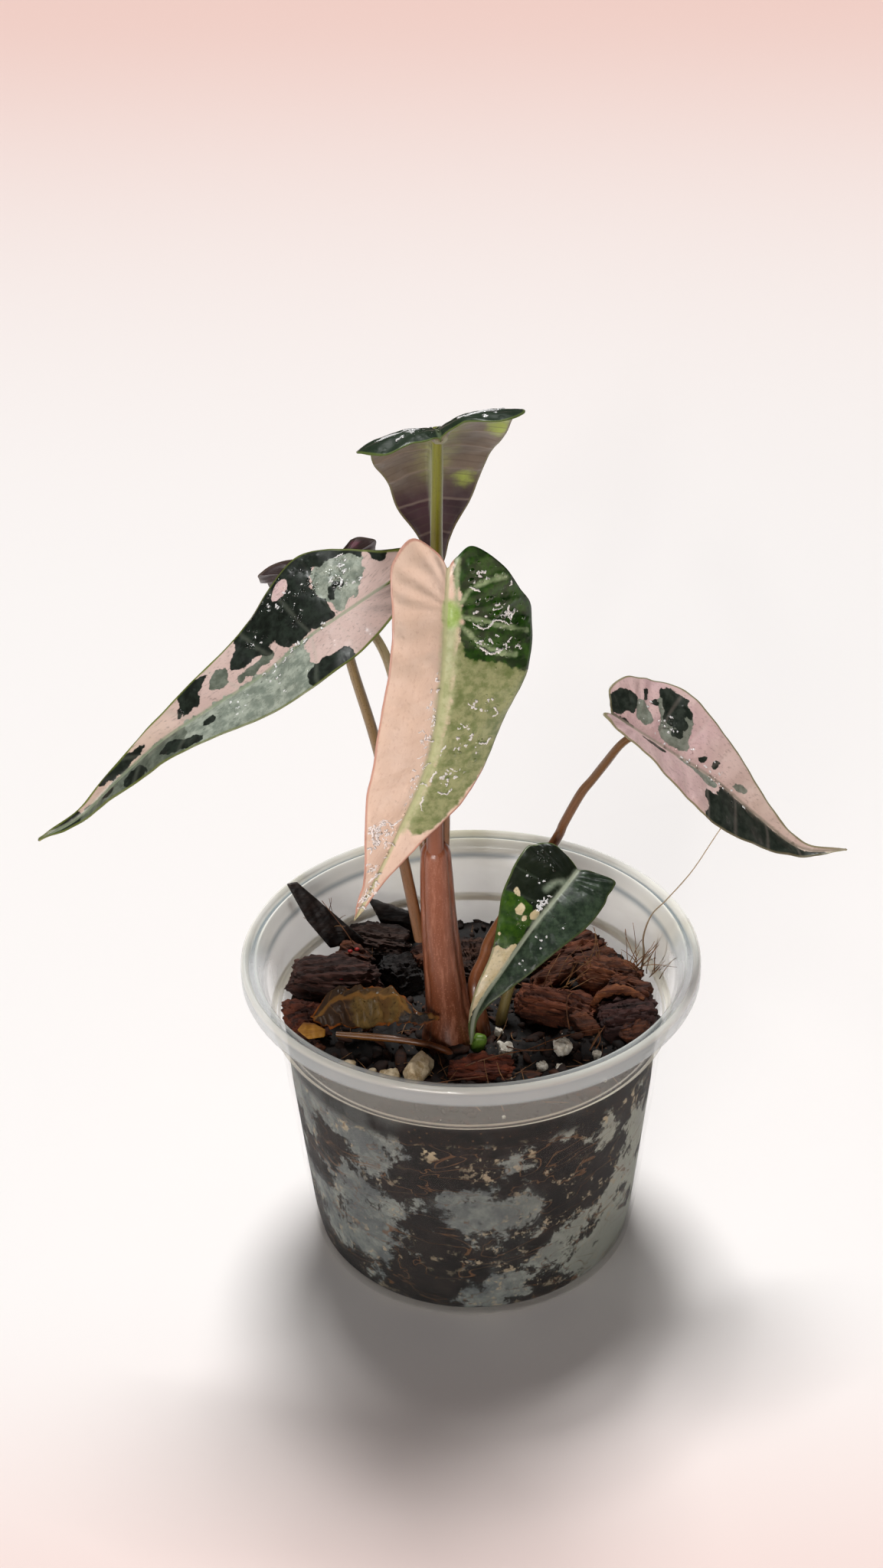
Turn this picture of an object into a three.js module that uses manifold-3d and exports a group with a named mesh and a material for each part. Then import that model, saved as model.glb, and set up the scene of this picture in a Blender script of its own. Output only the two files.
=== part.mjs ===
// Potted bambino alocasia: a small arrow-leaved house plant in a clear plastic tub.
// Millimetres, +Z up. The origin is the centre of the tub's base, and -Y is the side that faces the viewer.
import * as THREE from "three";
import { mergeVertices } from "three/addons/utils/BufferGeometryUtils.js";
import Module from "manifold-3d";

// Tub
const RIM_R = 58.5; // outside radius of the rolled rim
const POT_H = 86.5; // height over the rim
const BASE_R = 43.5; // outside radius just above the rounded base edge
const STEP_Z = 69; // height of the small step ring
const WALL = 0.9; // thickness of the side wall
const FLOOR = 1.2; // thickness of the base
const POT_SIDES = 48;

// Soil
const SOIL_Z = 64.5; // mean height of its top
const SOIL_TILT = -0.06; // it lies higher at the near side
const BUMP = 1.1; // height of the bumps
const SOIL_SIDES = 52;
const GAP = 0.3; // clearance between pieces that touch in life
const SOIL_R = 49.4 - WALL - GAP; // outside radius of its top

// Leaves
const THICK = 0.8; // blade thickness
const ROWS = 18; // rows from the tip to the notch
const COLS = 4; // columns in each half
const MIDRIB_STEPS = 160; // steps that measure the midrib's length
const HALF_WIDTH = 15; // distance from the midrib at which curl and wave are stated
const LIFT_WIDTH = 6; // distance from the midrib at which a lobe has its whole lift
const RIPPLE = 5.5; // length of blade over which the wave turns by one radian
// Along the midrib, in shares of the blade's length from the stalk to the tip
const STATIONS = [0.93, 0.82, 0.68, 0.52, 0.38, 0.25, 0.12, 0];
// Where the side vein of each edge station leaves the midrib
const VEIN_FOOT = [0.92, 0.79, 0.63, 0.46, 0.31, 0.19, 0.08, 0.012];

// Each blade: midrib points from the stalk to the tip, the way its upper face looks at the stalk,
// the middle and the tip, half widths in mm at the stations, and the two basal lobes.
const LEAVES = {
  blade_front: {
    colour: "pink",
    mid: [
      [-5, -27, 192], [-6, -30, 177.5], [-8, -30, 163], [-11, -29, 151.5], [-16.5, -28, 138],
      [-22, -26, 124.5], [-28, -23, 110],
    ],
    face: [[0.4, -0.85, 0.45], [0.4, -0.95, 0.1], [0.3, -0.95, 0]],
    left: {
      half: [1, 2.4, 6, 11.2, 15, 17.7, 20.7, 21.7],
      lobe: 15,
      lobeHalf: [17.7, 13, 5.5],
      lift: 0,
    },
    right: {
      half: [1.8, 3.6, 8, 13, 14.6, 14.2, 13.4, 13.2],
      lobe: 17,
      lobeHalf: [13.7, 13.3, 9],
      lift: 0,
    },
    notch: 10, fold: 0.2, curl: -0.15, wave: 0.7,
  },
  blade_left: {
    colour: "dark",
    mid: [
      [-29, -10, 184], [-36.5, -12, 179.5], [-47.5, -14, 171], [-59.5, -16, 164], [-71.5, -17, 156],
      [-83, -19, 146], [-91, -20, 138.5], [-101.5, -20, 132.5],
    ],
    face: [[-0.35, -0.42, 0.84], [-0.35, -0.42, 0.84], [-0.35, -0.5, 0.8]],
    left: {
      half: [1.4, 2.8, 5.8, 8.8, 10.8, 13.8, 16, 14.5],
      lobe: 20,
      lobeHalf: [12.2, 10, 5.5],
      lift: 0,
    },
    right: {
      half: [1.3, 2.2, 3.8, 6.6, 10, 14.3, 18.5, 21],
      lobe: 23,
      lobeHalf: [16.4, 8.8, 3.4],
      lift: 0,
    },
    notch: 13, fold: 0.22, curl: -0.1, wave: 0.6,
  },
  blade_right: {
    colour: "dark",
    mid: [
      [41.5, 6, 144.5], [49, 6, 139], [60.5, 5, 131], [71, 4, 121.5], [83, 3, 112], [94.5, 3, 111.5],
    ],
    face: [[0.1, -0.3, 0.95], [0.1, -0.45, 0.9], [0.1, -0.6, 0.8]],
    left: {
      half: [0.8, 1.8, 3.3, 6.8, 10.6, 14.8, 18.3, 17.3],
      lobe: 11,
      lobeHalf: [15, 12.5, 6.5],
      lift: 0,
    },
    right: { half: [1, 3, 7.5, 12, 13.5, 12.3, 10.2, 7.8], lobe: 11, lobeHalf: [6.8, 5.4, 3], lift: 0 },
    notch: 8, fold: 0.28, curl: -0.1, wave: 0.5,
  },
  blade_low: {
    colour: "dark",
    mid: [
      [25, 0, 105.5], [20.5, -5, 102.5], [16, -9, 99], [8, -15, 90], [1, -19, 80], [-0.5, -20.5, 70.5],
    ],
    face: [[0, -0.7, 0.7], [0, -0.7, 0.7], [0, -0.7, 0.7]],
    left: { half: [0.7, 1.3, 3.2, 6, 8, 9.7, 10.8, 10.7], lobe: 7.5, lobeHalf: [10, 9.5, 6], lift: 0 },
    right: {
      half: [0.8, 1.5, 3.2, 4.8, 8, 11.5, 13.4, 13.8],
      lobe: 6.6,
      lobeHalf: [13, 11, 7],
      lift: 0,
    },
    notch: 4.2, fold: 0.15, curl: -0.1, wave: 0.4,
  },
  blade_top: {
    colour: "under",
    mid: [[-6, -2.5, 223.5], [-6, 9, 218], [-7, 19, 209], [-7, 27, 194], [-6, 30.7, 176]],
    face: [[-0.2, 0.28, 0.93], [-0.15, 0.7, 0.6], [-0.1, 0.92, 0.22]],
    left: {
      half: [2.3, 4.6, 9, 11, 14.5, 15.5, 16.3, 17.3],
      lobe: 15,
      lobeHalf: [18, 17.8, 12.5],
      lift: 0.08,
    },
    right: {
      half: [1.8, 4, 9, 12, 14.2, 16.2, 17.5, 18.5],
      lobe: 13,
      lobeHalf: [19, 18.8, 13.5],
      lift: 0.14,
    },
    notch: 10, fold: 0.07, curl: -0.05, wave: 0.6,
  },
  blade_back: {
    colour: "under",
    mid: [
      [-33.4, 20, 182.4], [-35.4, 28, 178.4], [-38.4, 35, 172], [-41.4, 40, 162], [-43.4, 42.5, 149],
    ],
    face: [[-0.2, 0.3, 0.91], [-0.25, 0.7, 0.6], [-0.3, 0.9, 0.25]],
    left: {
      half: [1.5, 3, 6, 9, 11.5, 13, 14.5, 16],
      lobe: 10.5,
      lobeHalf: [16.6, 16.8, 12],
      lift: 0.22,
    },
    right: {
      half: [1.4, 3, 6, 8, 10, 11, 12, 12.8],
      lobe: 9.5,
      lobeHalf: [12.6, 12.3, 7.5],
      lift: 0.42,
    },
    notch: 7, fold: 0.12, curl: -0.05, wave: 0.4,
  },
};

// Stalks: points from the foot to the blade, with the radius at the foot and at the blade
const STEM = {
  points: [[-5.2, -10, 54], [-5.3, -10, 64], [-6.3, -9.5, 78], [-7.7, -8.6, 98], [-8.3, -7.8, 112]],
  radii: [5.4, 5.3, 4.4, 4, 3.9],
};
const STALKS = {
  petiole_front: {
    points: [
      [-8.6, -9.4, 112.6], [-8.4, -9, 130], [-7, -9.5, 155], [-5.6, -13, 178], [-5.2, -20, 190],
      [-5.2, -25.6, 192.6],
    ],
    radii: [2, 1.9, 1.7, 1.5, 1.3, 1.1],
  },
  petiole_top: {
    points: [
      [-5.9, -6, 112.6], [-5.9, -5.2, 130], [-6.2, -4, 162], [-6.7, -3.5, 194], [-6.2, -2.7, 215],
      [-6, -2.4, 222.4],
    ],
    radii: [1.6, 1.6, 1.5, 1.4, 1.3, 1.2],
  },
  petiole_back: {
    points: [
      [-10.6, -5.6, 112.6], [-11.7, -4, 120], [-14.5, 3, 141.5], [-18.6, 10, 161.8], [-25, 17, 171],
      [-33, 20.3, 181.3],
    ],
    radii: [1.5, 1.4, 1.3, 1.2, 1.1, 1],
  },
  petiole_left: {
    points: [
      [-13.5, -7.4, 97.6], [-16.3, -7.6, 118.2], [-21.4, -7.5, 148], [-26.6, -8, 170.2],
      [-28.9, -9.1, 183.3],
    ],
    radii: [1.5, 1.4, 1.3, 1.2, 1.1],
  },
  petiole_right: {
    points: [
      [2.6, -9.6, 57], [2.7, -9.5, 66], [0.9, -6.6, 78.6], [3.4, -1.6, 83.4], [6.5, 4, 88.4],
      [21.5, 13.2, 108.2], [24.4, 14, 114.2], [28.4, 13.6, 122.8], [31.2, 12.7, 127.4],
      [34.1, 11.2, 132.7], [37.8, 8.9, 139.5], [41.6, 6.7, 143.8],
    ],
    radii: [2.3, 2.2, 1.9, 1.6, 1.5, 1.3, 1.2, 1.2, 1.1, 1.1, 1, 1],
  },
  petiole_low: {
    points: [[6.2, -3.6, 56], [7.7, -3.5, 66], [11, -2, 78], [19, 0.6, 94], [24.9, 1, 104.8]],
    radii: [1.6, 1.5, 1.2, 1, 0.9],
  },
};

// Squareness of a lump, the waves on it, and how much further a plate's corner moves than its edge
const SQUARENESS = 3.2;
const LUMP_WAVES = 5;
const CORNER_GROW = 1.6;

// Rounded lumps: centre, half sizes, turn about Z, tilt about Y, tilt about X in degrees, seed
const LUMPS = {
  bark_left: { colour: "bark", at: [-36, 9.4, 70.2], half: [11.2, 7.6, 5], turn: [8, 6, -12], seed: 3 },
  bark_low: { colour: "bark", at: [-42.4, -5.6, 68.6], half: [4.8, 6, 3.6], turn: [20, 0, 0], seed: 5 },
  bark_dark: { colour: "bark", at: [-18.6, 14.2, 67.2], half: [5, 6.2, 5], turn: [30, 0, 0], seed: 7 },
  bark_rear: { colour: "bark", at: [-24.6, 31.6, 66.4], half: [9.4, 4.8, 3.4], turn: [-12, 0, 20], seed: 9 },
  bark_middle: { colour: "bark", at: [1.5, 25, 63.5], half: [4, 8, 4.2], turn: [0, 0, 14], seed: 11 },
  coir_a: { colour: "coir", at: [26, 25, 66.5], half: [10, 7.6, 4.2], turn: [14, -6, 12], seed: 13 },
  coir_b: { colour: "coir", at: [37.6, 9, 68.8], half: [7.2, 4, 3.2], turn: [-14, 6, 0], seed: 15 },
  coir_c: { colour: "coir", at: [22.6, -0.2, 66.8], half: [9.2, 6, 4], turn: [-16, 8, -18], seed: 17 },
  coir_d: { colour: "coir", at: [39.6, -5.6, 66.6], half: [6.8, 6.4, 4], turn: [10, 0, -10], seed: 19 },
  crumbs: { colour: "coir", at: [2.2, -26.2, 67], half: [7.4, 3.6, 1.8], turn: [-4, 0, 0], seed: 21 },
};
const GRAINS = {
  shell: { colour: "pebble", at: [-13.6, -27.8, 68.6], half: [3.2, 4, 3.4], turn: [-10, 0, -20], seed: 31 },
  pebble_a: { colour: "pebble", at: [-20.9, -28.8, 67.9], half: [2.4, 2.1, 1.5], turn: [10, 0, 0], seed: 33 },
  pebble_b: { colour: "pebble", at: [-31, -24.4, 67.9], half: [1.7, 1.9, 1.4], turn: [30, 0, 0], seed: 35 },
  pebble_c: { colour: "pebble", at: [-25.2, -27, 67.5], half: [1.2, 1.4, 1.1], turn: [0, 0, 0], seed: 37 },
  perlite_a: { colour: "perlite", at: [22.8, -17.8, 67.6], half: [2.3, 2, 1.9], turn: [25, 0, 0], seed: 41 },
  perlite_b: { colour: "perlite", at: [8.4, -18.8, 67.4], half: [1.7, 1.9, 1.9], turn: [0, 0, 0], seed: 43 },
  perlite_c: { colour: "perlite", at: [17, -24.8, 66.9], half: [1.4, 1.2, 1.1], turn: [15, 0, 0], seed: 45 },
  perlite_d: { colour: "perlite", at: [21.4, -26, 67.3], half: [1, 1, 1], turn: [0, 0, 0], seed: 47 },
  perlite_e: { colour: "perlite", at: [31.2, -20.4, 66.7], half: [1.1, 1.1, 1], turn: [0, 0, 0], seed: 49 },
  perlite_f: { colour: "perlite", at: [6.9, -10, 66.5], half: [1, 1, 1.5], turn: [0, 0, 0], seed: 51 },
  bud: { colour: "bud", at: [1.6, -17.2, 68.6], half: [1.5, 1.3, 2.4], turn: [0, 12, 0], seed: 53 },
};
const LITTER = {
  dried_stalk: {
    points: [
      [-34.3, -14, 70], [-27.2, -15.2, 70], [-20.6, -16.6, 70.2], [-13.9, -17.8, 69.8],
      [-7, -18.8, 68], [-4.6, -19.2, 65.6],
    ],
    radii: [0.7, 0.9, 0.9, 0.9, 0.9, 0.9],
  },
  fibre: {
    points: [
      [44.4, 12.4, 63], [45.9, 13.4, 73], [45.8, 14.8, 78.3], [47.8, 15.4, 84.7], [51.6, 15, 89.8],
      [57.6, 14, 99], [63.3, 13, 110.7], [66, 12.4, 115.6],
    ],
    radii: [0.4, 0.4, 0.38, 0.36, 0.34, 0.32, 0.3, 0.3],
  },
};
const SHARDS = {
  shard_left: {
    corners: [
      [-48.3, 27, 89.2], [-45.4, 27.2, 89.4], [-36.6, 27.6, 79.6], [-27.6, 26.6, 70.4],
      [-37.6, 24.8, 70], [-43.2, 25, 78.4],
    ],
    thick: 1.2,
  },
  shard_back: {
    corners: [[-27.4, 39.4, 76.2], [-15.8, 38.8, 71.6], [-13.4, 38.4, 62], [-21.6, 38.6, 62]],
    thick: 2,
  },
};

// One smooth curve through a list of numbers or of points, read at u from 0 to 1.
function curve(points, u) {
  const at = Math.min(Math.max(u, 0), 1) * (points.length - 1);
  const i = Math.min(Math.floor(at), points.length - 2);
  const f = at - i;
  const get = (k, d) => (Array.isArray(points[k]) ? points[k][d] : points[k]);
  const one = (d) => {
    const b = get(i, d);
    const c = get(i + 1, d);
    const a = i > 0 ? get(i - 1, d) : 2 * b - c;
    const e = i + 2 < points.length ? get(i + 2, d) : 2 * c - b;
    const square = (2 * a - 5 * b + 4 * c - e) * f * f;
    const cube = (3 * b - a - 3 * c + e) * f ** 3;
    return 0.5 * (2 * b + (c - a) * f + square + cube);
  };
  return Array.isArray(points[0]) ? points[0].map((_, d) => one(d)) : one(0);
}

const vec = (p) => new THREE.Vector3(p[0], p[1], p[2]);

// A repeatable stream of numbers from 0 to 1
function random(seed) {
  let s = seed * 2654435761;
  return () => {
    s = (s ^ (s << 13)) >>> 0;
    s = (s ^ (s >>> 17)) >>> 0;
    s = (s ^ (s << 5)) >>> 0;
    return s / 4294967296;
  };
}

// The blade's middle surface: a function of a place along the midrib and across it, in mm.
function bladeSurface(leaf) {
  const steps = MIDRIB_STEPS;
  const line = [];
  const reach = [0];
  for (let i = 0; i <= steps; i++) {
    line.push(vec(curve(leaf.mid, i / steps)));
    if (i > 0) reach.push(reach[i - 1] + line[i].distanceTo(line[i - 1]));
  }
  const length = reach[steps];
  const place = (along, across) => {
    const on = Math.min(Math.max(along, 0), length);
    let i = 1;
    while (i < steps && reach[i] < on) i++;
    const f = (on - reach[i - 1]) / (reach[i] - reach[i - 1]);
    const p = line[i - 1].clone().lerp(line[i], f);
    const lo = Math.max(i - 3, 0);
    const hi = Math.min(i + 2, steps);
    const tangent = line[hi].clone().sub(line[lo]).normalize();
    const face = vec(curve(leaf.face, (i - 1 + f) / steps)).normalize();
    const side = tangent.clone().cross(face).normalize();
    const up = side.clone().cross(tangent);
    const back = Math.min(along, 0);
    const w = Math.abs(across);
    const c = 1 / Math.hypot(1, leaf.fold);
    const half = across < 0 ? leaf.left : leaf.right;
    let rise = leaf.fold * w + (leaf.curl * w * w) / HALF_WIDTH;
    rise -= back * half.lift * Math.min(w / LIFT_WIDTH, 1);
    rise += leaf.wave * Math.sin(along / RIPPLE + Math.sign(across)) * (w / HALF_WIDTH) ** 2;
    p.addScaledVector(tangent, back);
    p.addScaledVector(side, Math.sign(across) * w * c);
    return p.addScaledVector(up, rise * c);
  };
  return { length, place };
}

// Edge and midrib places of one half, listed from the tip round the lobe to the notch.
function halfOutline(side, notch, length) {
  const edge = [[length, 0]];
  STATIONS.forEach((s, k) => edge.push([s * length, side.half[k]]));
  const { lobe, lobeHalf } = side;
  edge.push([-0.35 * lobe, lobeHalf[0]], [-0.7 * lobe, lobeHalf[1]], [-lobe, lobeHalf[2]]);
  edge.push([-0.5 * (lobe + notch), 0.3 * lobeHalf[2]], [-notch, 0]);
  const foot = [
    length, ...VEIN_FOOT.map((s) => s * length), -0.1 * notch, -0.25 * notch, -0.5 * notch,
    -0.78 * notch, -notch,
  ];
  return { edge, foot };
}

// Closed thin body of a blade: both faces split alike, with a wall round the edge.
function bladeGeometry(leaf, rows = ROWS, cols = COLS, thick = THICK) {
  const { length, place } = bladeSurface(leaf);
  const halves = {
    L: halfOutline(leaf.left, leaf.notch, length),
    R: halfOutline(leaf.right, leaf.notch, length),
  };
  const grid = [];
  const points = [];
  for (let i = 0; i <= rows; i++) {
    const row = [];
    const u = i / rows;
    const single = i === 0 || i === rows;
    for (let j = -cols; j <= cols; j++) {
      if (single && j > -cols) {
        row.push(row[0]);
        continue;
      }
      const h = j < 0 ? halves.L : halves.R;
      const [ey, ex] = curve(h.edge, u);
      const foot = curve(h.foot, u);
      const k = single ? 0 : Math.abs(j) / cols;
      row.push(points.length);
      points.push(place(foot + (ey - foot) * k, Math.sign(j) * Math.max(ex, 0.05) * k));
    }
    grid.push(row);
  }
  const faces = [];
  const add = (a, b, c) => {
    if (a !== b && b !== c && a !== c) faces.push([a, b, c]);
  };
  for (let i = 0; i < rows; i++)
    for (let j = 0; j < 2 * cols; j++) {
      const [a, b, c, d] = [grid[i][j], grid[i][j + 1], grid[i + 1][j + 1], grid[i + 1][j]];
      if (j < cols) {
        add(a, b, c);
        add(a, c, d);
      } else {
        add(a, b, d);
        add(b, c, d);
      }
    }
  const flat = new THREE.BufferGeometry();
  flat.setAttribute("position", new THREE.Float32BufferAttribute(points.flatMap((p) => p.toArray()), 3));
  flat.setIndex(faces.flat());
  flat.computeVertexNormals();
  const normal = flat.getAttribute("normal");
  const n = points.length;
  const all = [];
  for (const s of [thick / 2, -thick / 2])
    for (const [k, p] of points.entries()) {
      const out = new THREE.Vector3().fromBufferAttribute(normal, k);
      all.push(...p.clone().addScaledVector(out, s).toArray());
    }
  const index = [];
  for (const [a, b, c] of faces) index.push(a, b, c, n + a, n + c, n + b);
  const loop = [];
  for (let i = 0; i <= rows; i++) loop.push(grid[i][0]);
  for (let i = rows - 1; i > 0; i--) loop.push(grid[i][2 * cols]);
  for (let k = 0; k < loop.length; k++) {
    const a = loop[k];
    const b = loop[(k + 1) % loop.length];
    index.push(a, b, n + b, a, n + b, n + a);
  }
  const g = new THREE.BufferGeometry();
  g.setAttribute("position", new THREE.Float32BufferAttribute(all, 3));
  g.setIndex(index);
  return g;
}

// Round tapered stalk along a curve, closed at both ends.
function stalkGeometry({ points, radii }, sides = 8, steps = 14, grow = 0) {
  const line = [];
  for (let i = 0; i <= steps; i++) line.push(vec(curve(points, i / steps)));
  const position = [];
  let side = new THREE.Vector3(1, 0, 0);
  for (let i = 0; i <= steps; i++) {
    const t = line[Math.min(i + 1, steps)].clone().sub(line[Math.max(i - 1, 0)]).normalize();
    side.addScaledVector(t, -side.dot(t)).normalize();
    const up = t.clone().cross(side);
    const r = curve(radii, i / steps) + grow;
    for (let j = 0; j < sides; j++) {
      const a = (2 * Math.PI * j) / sides;
      const p = line[i].clone().addScaledVector(side, r * Math.cos(a)).addScaledVector(up, r * Math.sin(a));
      position.push(p.x, p.y, p.z);
    }
  }
  position.push(...line[0].toArray(), ...line[steps].toArray());
  const low = sides * (steps + 1);
  const index = [];
  for (let i = 0; i < steps; i++)
    for (let j = 0; j < sides; j++) {
      const [a, b] = [i * sides + j, i * sides + ((j + 1) % sides)];
      index.push(a, b, b + sides, a, b + sides, a + sides);
    }
  for (let j = 0; j < sides; j++) {
    const k = (j + 1) % sides;
    index.push(low, k, j, low + 1, steps * sides + j, steps * sides + k);
  }
  const g = new THREE.BufferGeometry();
  g.setAttribute("position", new THREE.Float32BufferAttribute(position, 3));
  g.setIndex(index);
  return g;
}

// Rounded uneven lump for bark, husk, pebbles and grains.
function lumpGeometry({ at, half, turn, seed }, grow = 0, detail = 2) {
  const ball = new THREE.IcosahedronGeometry(1, detail).deleteAttribute("normal").deleteAttribute("uv");
  const g = mergeVertices(ball, 1e-4);
  const r = random(seed);
  const pitch = () => 6.4 * r() - 3.2;
  const wave = () => [pitch(), pitch(), pitch(), r() * 2 * Math.PI, 0.03 + 0.03 * r()];
  const waves = Array.from({ length: LUMP_WAVES }, wave);
  const [z, y, x] = turn.map(THREE.MathUtils.degToRad);
  const turned = new THREE.Euler(x, y, z, "ZYX");
  const p = g.getAttribute("position");
  const v = new THREE.Vector3();
  for (let i = 0; i < p.count; i++) {
    v.fromBufferAttribute(p, i);
    const powers = v.toArray().map((q) => Math.abs(q) ** SQUARENESS);
    let k = (powers[0] + powers[1] + powers[2]) ** (-1 / SQUARENESS);
    for (const [a, b, c, d, e] of waves) k += e * Math.sin(a * v.x + b * v.y + c * v.z + d);
    v.multiplyScalar(k);
    v.multiply(vec(half).addScalar(grow)).applyEuler(turned).add(vec(at));
    p.setXYZ(i, v.x, v.y, v.z);
  }
  return g;
}

// Flat plate through a loop of corners, for the two shards.
function plateGeometry({ corners, thick }, grow = 0) {
  const c = corners.map(vec);
  const centre = c.reduce((s, p) => s.add(p), new THREE.Vector3()).multiplyScalar(1 / c.length);
  const normal = new THREE.Vector3();
  c.forEach((p, i) => normal.add(p.clone().sub(centre).cross(c[(i + 1) % c.length].clone().sub(centre))));
  normal.normalize();
  const ring = c.map((p) => {
    const flat = p.clone().sub(centre);
    flat.addScaledVector(normal, -flat.dot(normal));
    return flat.setLength(flat.length() + grow * CORNER_GROW).add(centre);
  });
  const n = ring.length;
  const h = thick / 2 + grow;
  const position = [];
  for (const s of [h, -h])
    for (const p of ring) position.push(...p.clone().addScaledVector(normal, s).toArray());
  const index = [];
  for (let i = 1; i < n - 1; i++) index.push(0, i, i + 1, n, n + i + 1, n + i);
  for (let i = 0; i < n; i++) {
    const k = (i + 1) % n;
    index.push(i, n + i, n + k, i, n + k, k);
  }
  const g = new THREE.BufferGeometry();
  g.setAttribute("position", new THREE.Float32BufferAttribute(position, 3));
  g.setIndex(index);
  return g;
}

// Tub profile, anticlockwise from the axis, as radius and height
function potGeometry() {
  const base = [[0, 0], [BASE_R - 3, 0], [BASE_R - 1.1, 0.8], [BASE_R - 0.1, 2.6]];
  const body = [[BASE_R + 1, 10], [46.5, 30], [48.4, 50], [49.3, 59], [50.3, STEP_Z - 0.4]];
  const step = [[51.5, STEP_Z + 0.3], [51.9, STEP_Z + 1.1], [53, POT_H - 5.9]];
  const rim = [
    [56.6, POT_H - 5.7], [58.2, POT_H - 5.1], [RIM_R, POT_H - 3.4], [RIM_R - 0.1, POT_H - 1.1],
    [RIM_R - 0.6, POT_H - 0.2], [RIM_R - 1.2, POT_H], [56.7, POT_H - 0.4], [56.2, POT_H - 1.6],
    [55.4, POT_H - 1.9], [55, POT_H - 1.4], [54.5, POT_H - 1.3], [54, POT_H - 1.9],
    [53.1, POT_H - 3.8], [52.1, POT_H - 6],
  ];
  const inside = [
    [51.9 - WALL, STEP_Z + 1.6], [51.4 - WALL, STEP_Z + 0.9], [50.3 - WALL, STEP_Z + 0.1],
    [49.3 - WALL, 59], [48.4 - WALL, 50], [46.5 - WALL, 30], [BASE_R + 1 - WALL, 10],
  ];
  const floor = [
    [BASE_R - 0.1 - WALL, 3.6], [BASE_R - 1.6 - WALL, FLOOR + 0.6], [BASE_R - 3.6, FLOOR], [0, FLOOR],
  ];
  const profile = [...base, ...body, ...step, ...rim, ...inside, ...floor];
  const points = profile.map(([r, z]) => new THREE.Vector2(r, z));
  return new THREE.LatheGeometry(points, POT_SIDES).rotateX(Math.PI / 2);
}

// Height of the soil's top before the seats are cut
function soilHeight(x, y) {
  const square = Math.sin(x * 0.34 + 1.3) * Math.cos(y * 0.29 - 0.7);
  const slanted = 0.7 * Math.sin(x * 0.13 - y * 0.41);
  const fine = 0.5 * Math.cos(x * 0.61 + y * 0.22);
  const edge = Math.hypot(x, y) / SOIL_R;
  return SOIL_Z + SOIL_TILT * y + BUMP * (square + slanted + fine) * (1 - 0.4 * edge ** 4);
}

// Soil: bumpy top, side that follows the tub's inside, flat foot on the tub's floor.
function soilGeometry() {
  const sides = SOIL_SIDES;
  const position = [];
  const rings = [0.12, 0.24, 0.36, 0.48, 0.6, 0.72, 0.84, 0.93, 1];
  const ring = (r, height) => {
    for (let j = 0; j < sides; j++) {
      const a = (2 * Math.PI * j) / sides;
      const [x, y] = [r * Math.cos(a), r * Math.sin(a)];
      position.push(x, y, height(x, y));
    }
  };
  position.push(0, 0, soilHeight(0, 0));
  for (const s of rings) ring(s * SOIL_R, soilHeight);
  const wall = [[48.4, 50], [46.5, 30], [BASE_R + 1, 10], [BASE_R - 0.1, 3.8]];
  const low = [...wall.map(([r, z]) => [r - WALL - GAP, z]), [BASE_R - 4.4, FLOOR + GAP]];
  for (const [r, z] of low) ring(r, () => z);
  position.push(0, 0, FLOOR + GAP);
  const loops = rings.length + low.length;
  const index = [];
  for (let j = 0; j < sides; j++) {
    const k = (j + 1) % sides;
    index.push(0, 1 + j, 1 + k);
    for (let i = 0; i < loops - 1; i++) {
      const [a, b] = [1 + i * sides, 1 + (i + 1) * sides];
      index.push(a + j, b + j, b + k, a + j, b + k, a + k);
    }
    const last = 1 + (loops - 1) * sides;
    index.push(last + j, last + sides, last + k);
  }
  const g = new THREE.BufferGeometry();
  g.setAttribute("position", new THREE.Float32BufferAttribute(position, 3));
  g.setIndex(index);
  return g;
}

const wasm = await Module();
wasm.setup();

function toSolid(geometry) {
  const bare = new THREE.BufferGeometry();
  bare.setAttribute("position", geometry.getAttribute("position"));
  if (geometry.index) bare.setIndex(geometry.index);
  const merged = mergeVertices(bare, 1e-4);
  const vertProperties = merged.getAttribute("position").array;
  const triVerts = new Uint32Array(merged.index.array);
  return new wasm.Manifold(new wasm.Mesh({ numProp: 3, vertProperties, triVerts }));
}

function toGeometry(solid) {
  const mesh = solid.getMesh();
  const g = new THREE.BufferGeometry();
  g.setAttribute("position", new THREE.Float32BufferAttribute(mesh.vertProperties, 3));
  g.setIndex(Array.from(mesh.triVerts));
  return g;
}

// Dried leaf: a curled strip whose back half folds down, made like a blade.
const DRIED = {
  mid: [
    [-38.4, -10.4, 74.4], [-35, -9.2, 76.8], [-29, -8.8, 78.4], [-23, -9.6, 78.8], [-18, -12, 79],
    [-13.2, -15, 77.4], [-8.4, -17.2, 75.6],
  ],
  face: [[-0.2, -0.5, 0.85], [0, -0.5, 0.85], [0.2, -0.4, 0.9]],
  left: { half: [1, 1.6, 2, 2.6, 3.2, 3.6, 3.4, 2.4], lobe: 3, lobeHalf: [2, 1.6, 1], lift: 0 },
  right: { half: [2.2, 5, 6.4, 8, 8.6, 8.2, 6.4, 4.6], lobe: 3, lobeHalf: [3.6, 2.6, 1.4], lift: 0 },
  notch: 2, fold: -0.75, curl: -0.35, wave: 0.8,
};
const SCRAP = {
  corners: [
    [-44.2, -14, 71.4], [-42.6, -12.8, 73], [-39.8, -12.6, 72.4], [-37, -13.4, 71],
    [-37.2, -14.6, 69.6], [-41.4, -15.2, 69.4],
  ],
  thick: 0.8,
};

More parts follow.
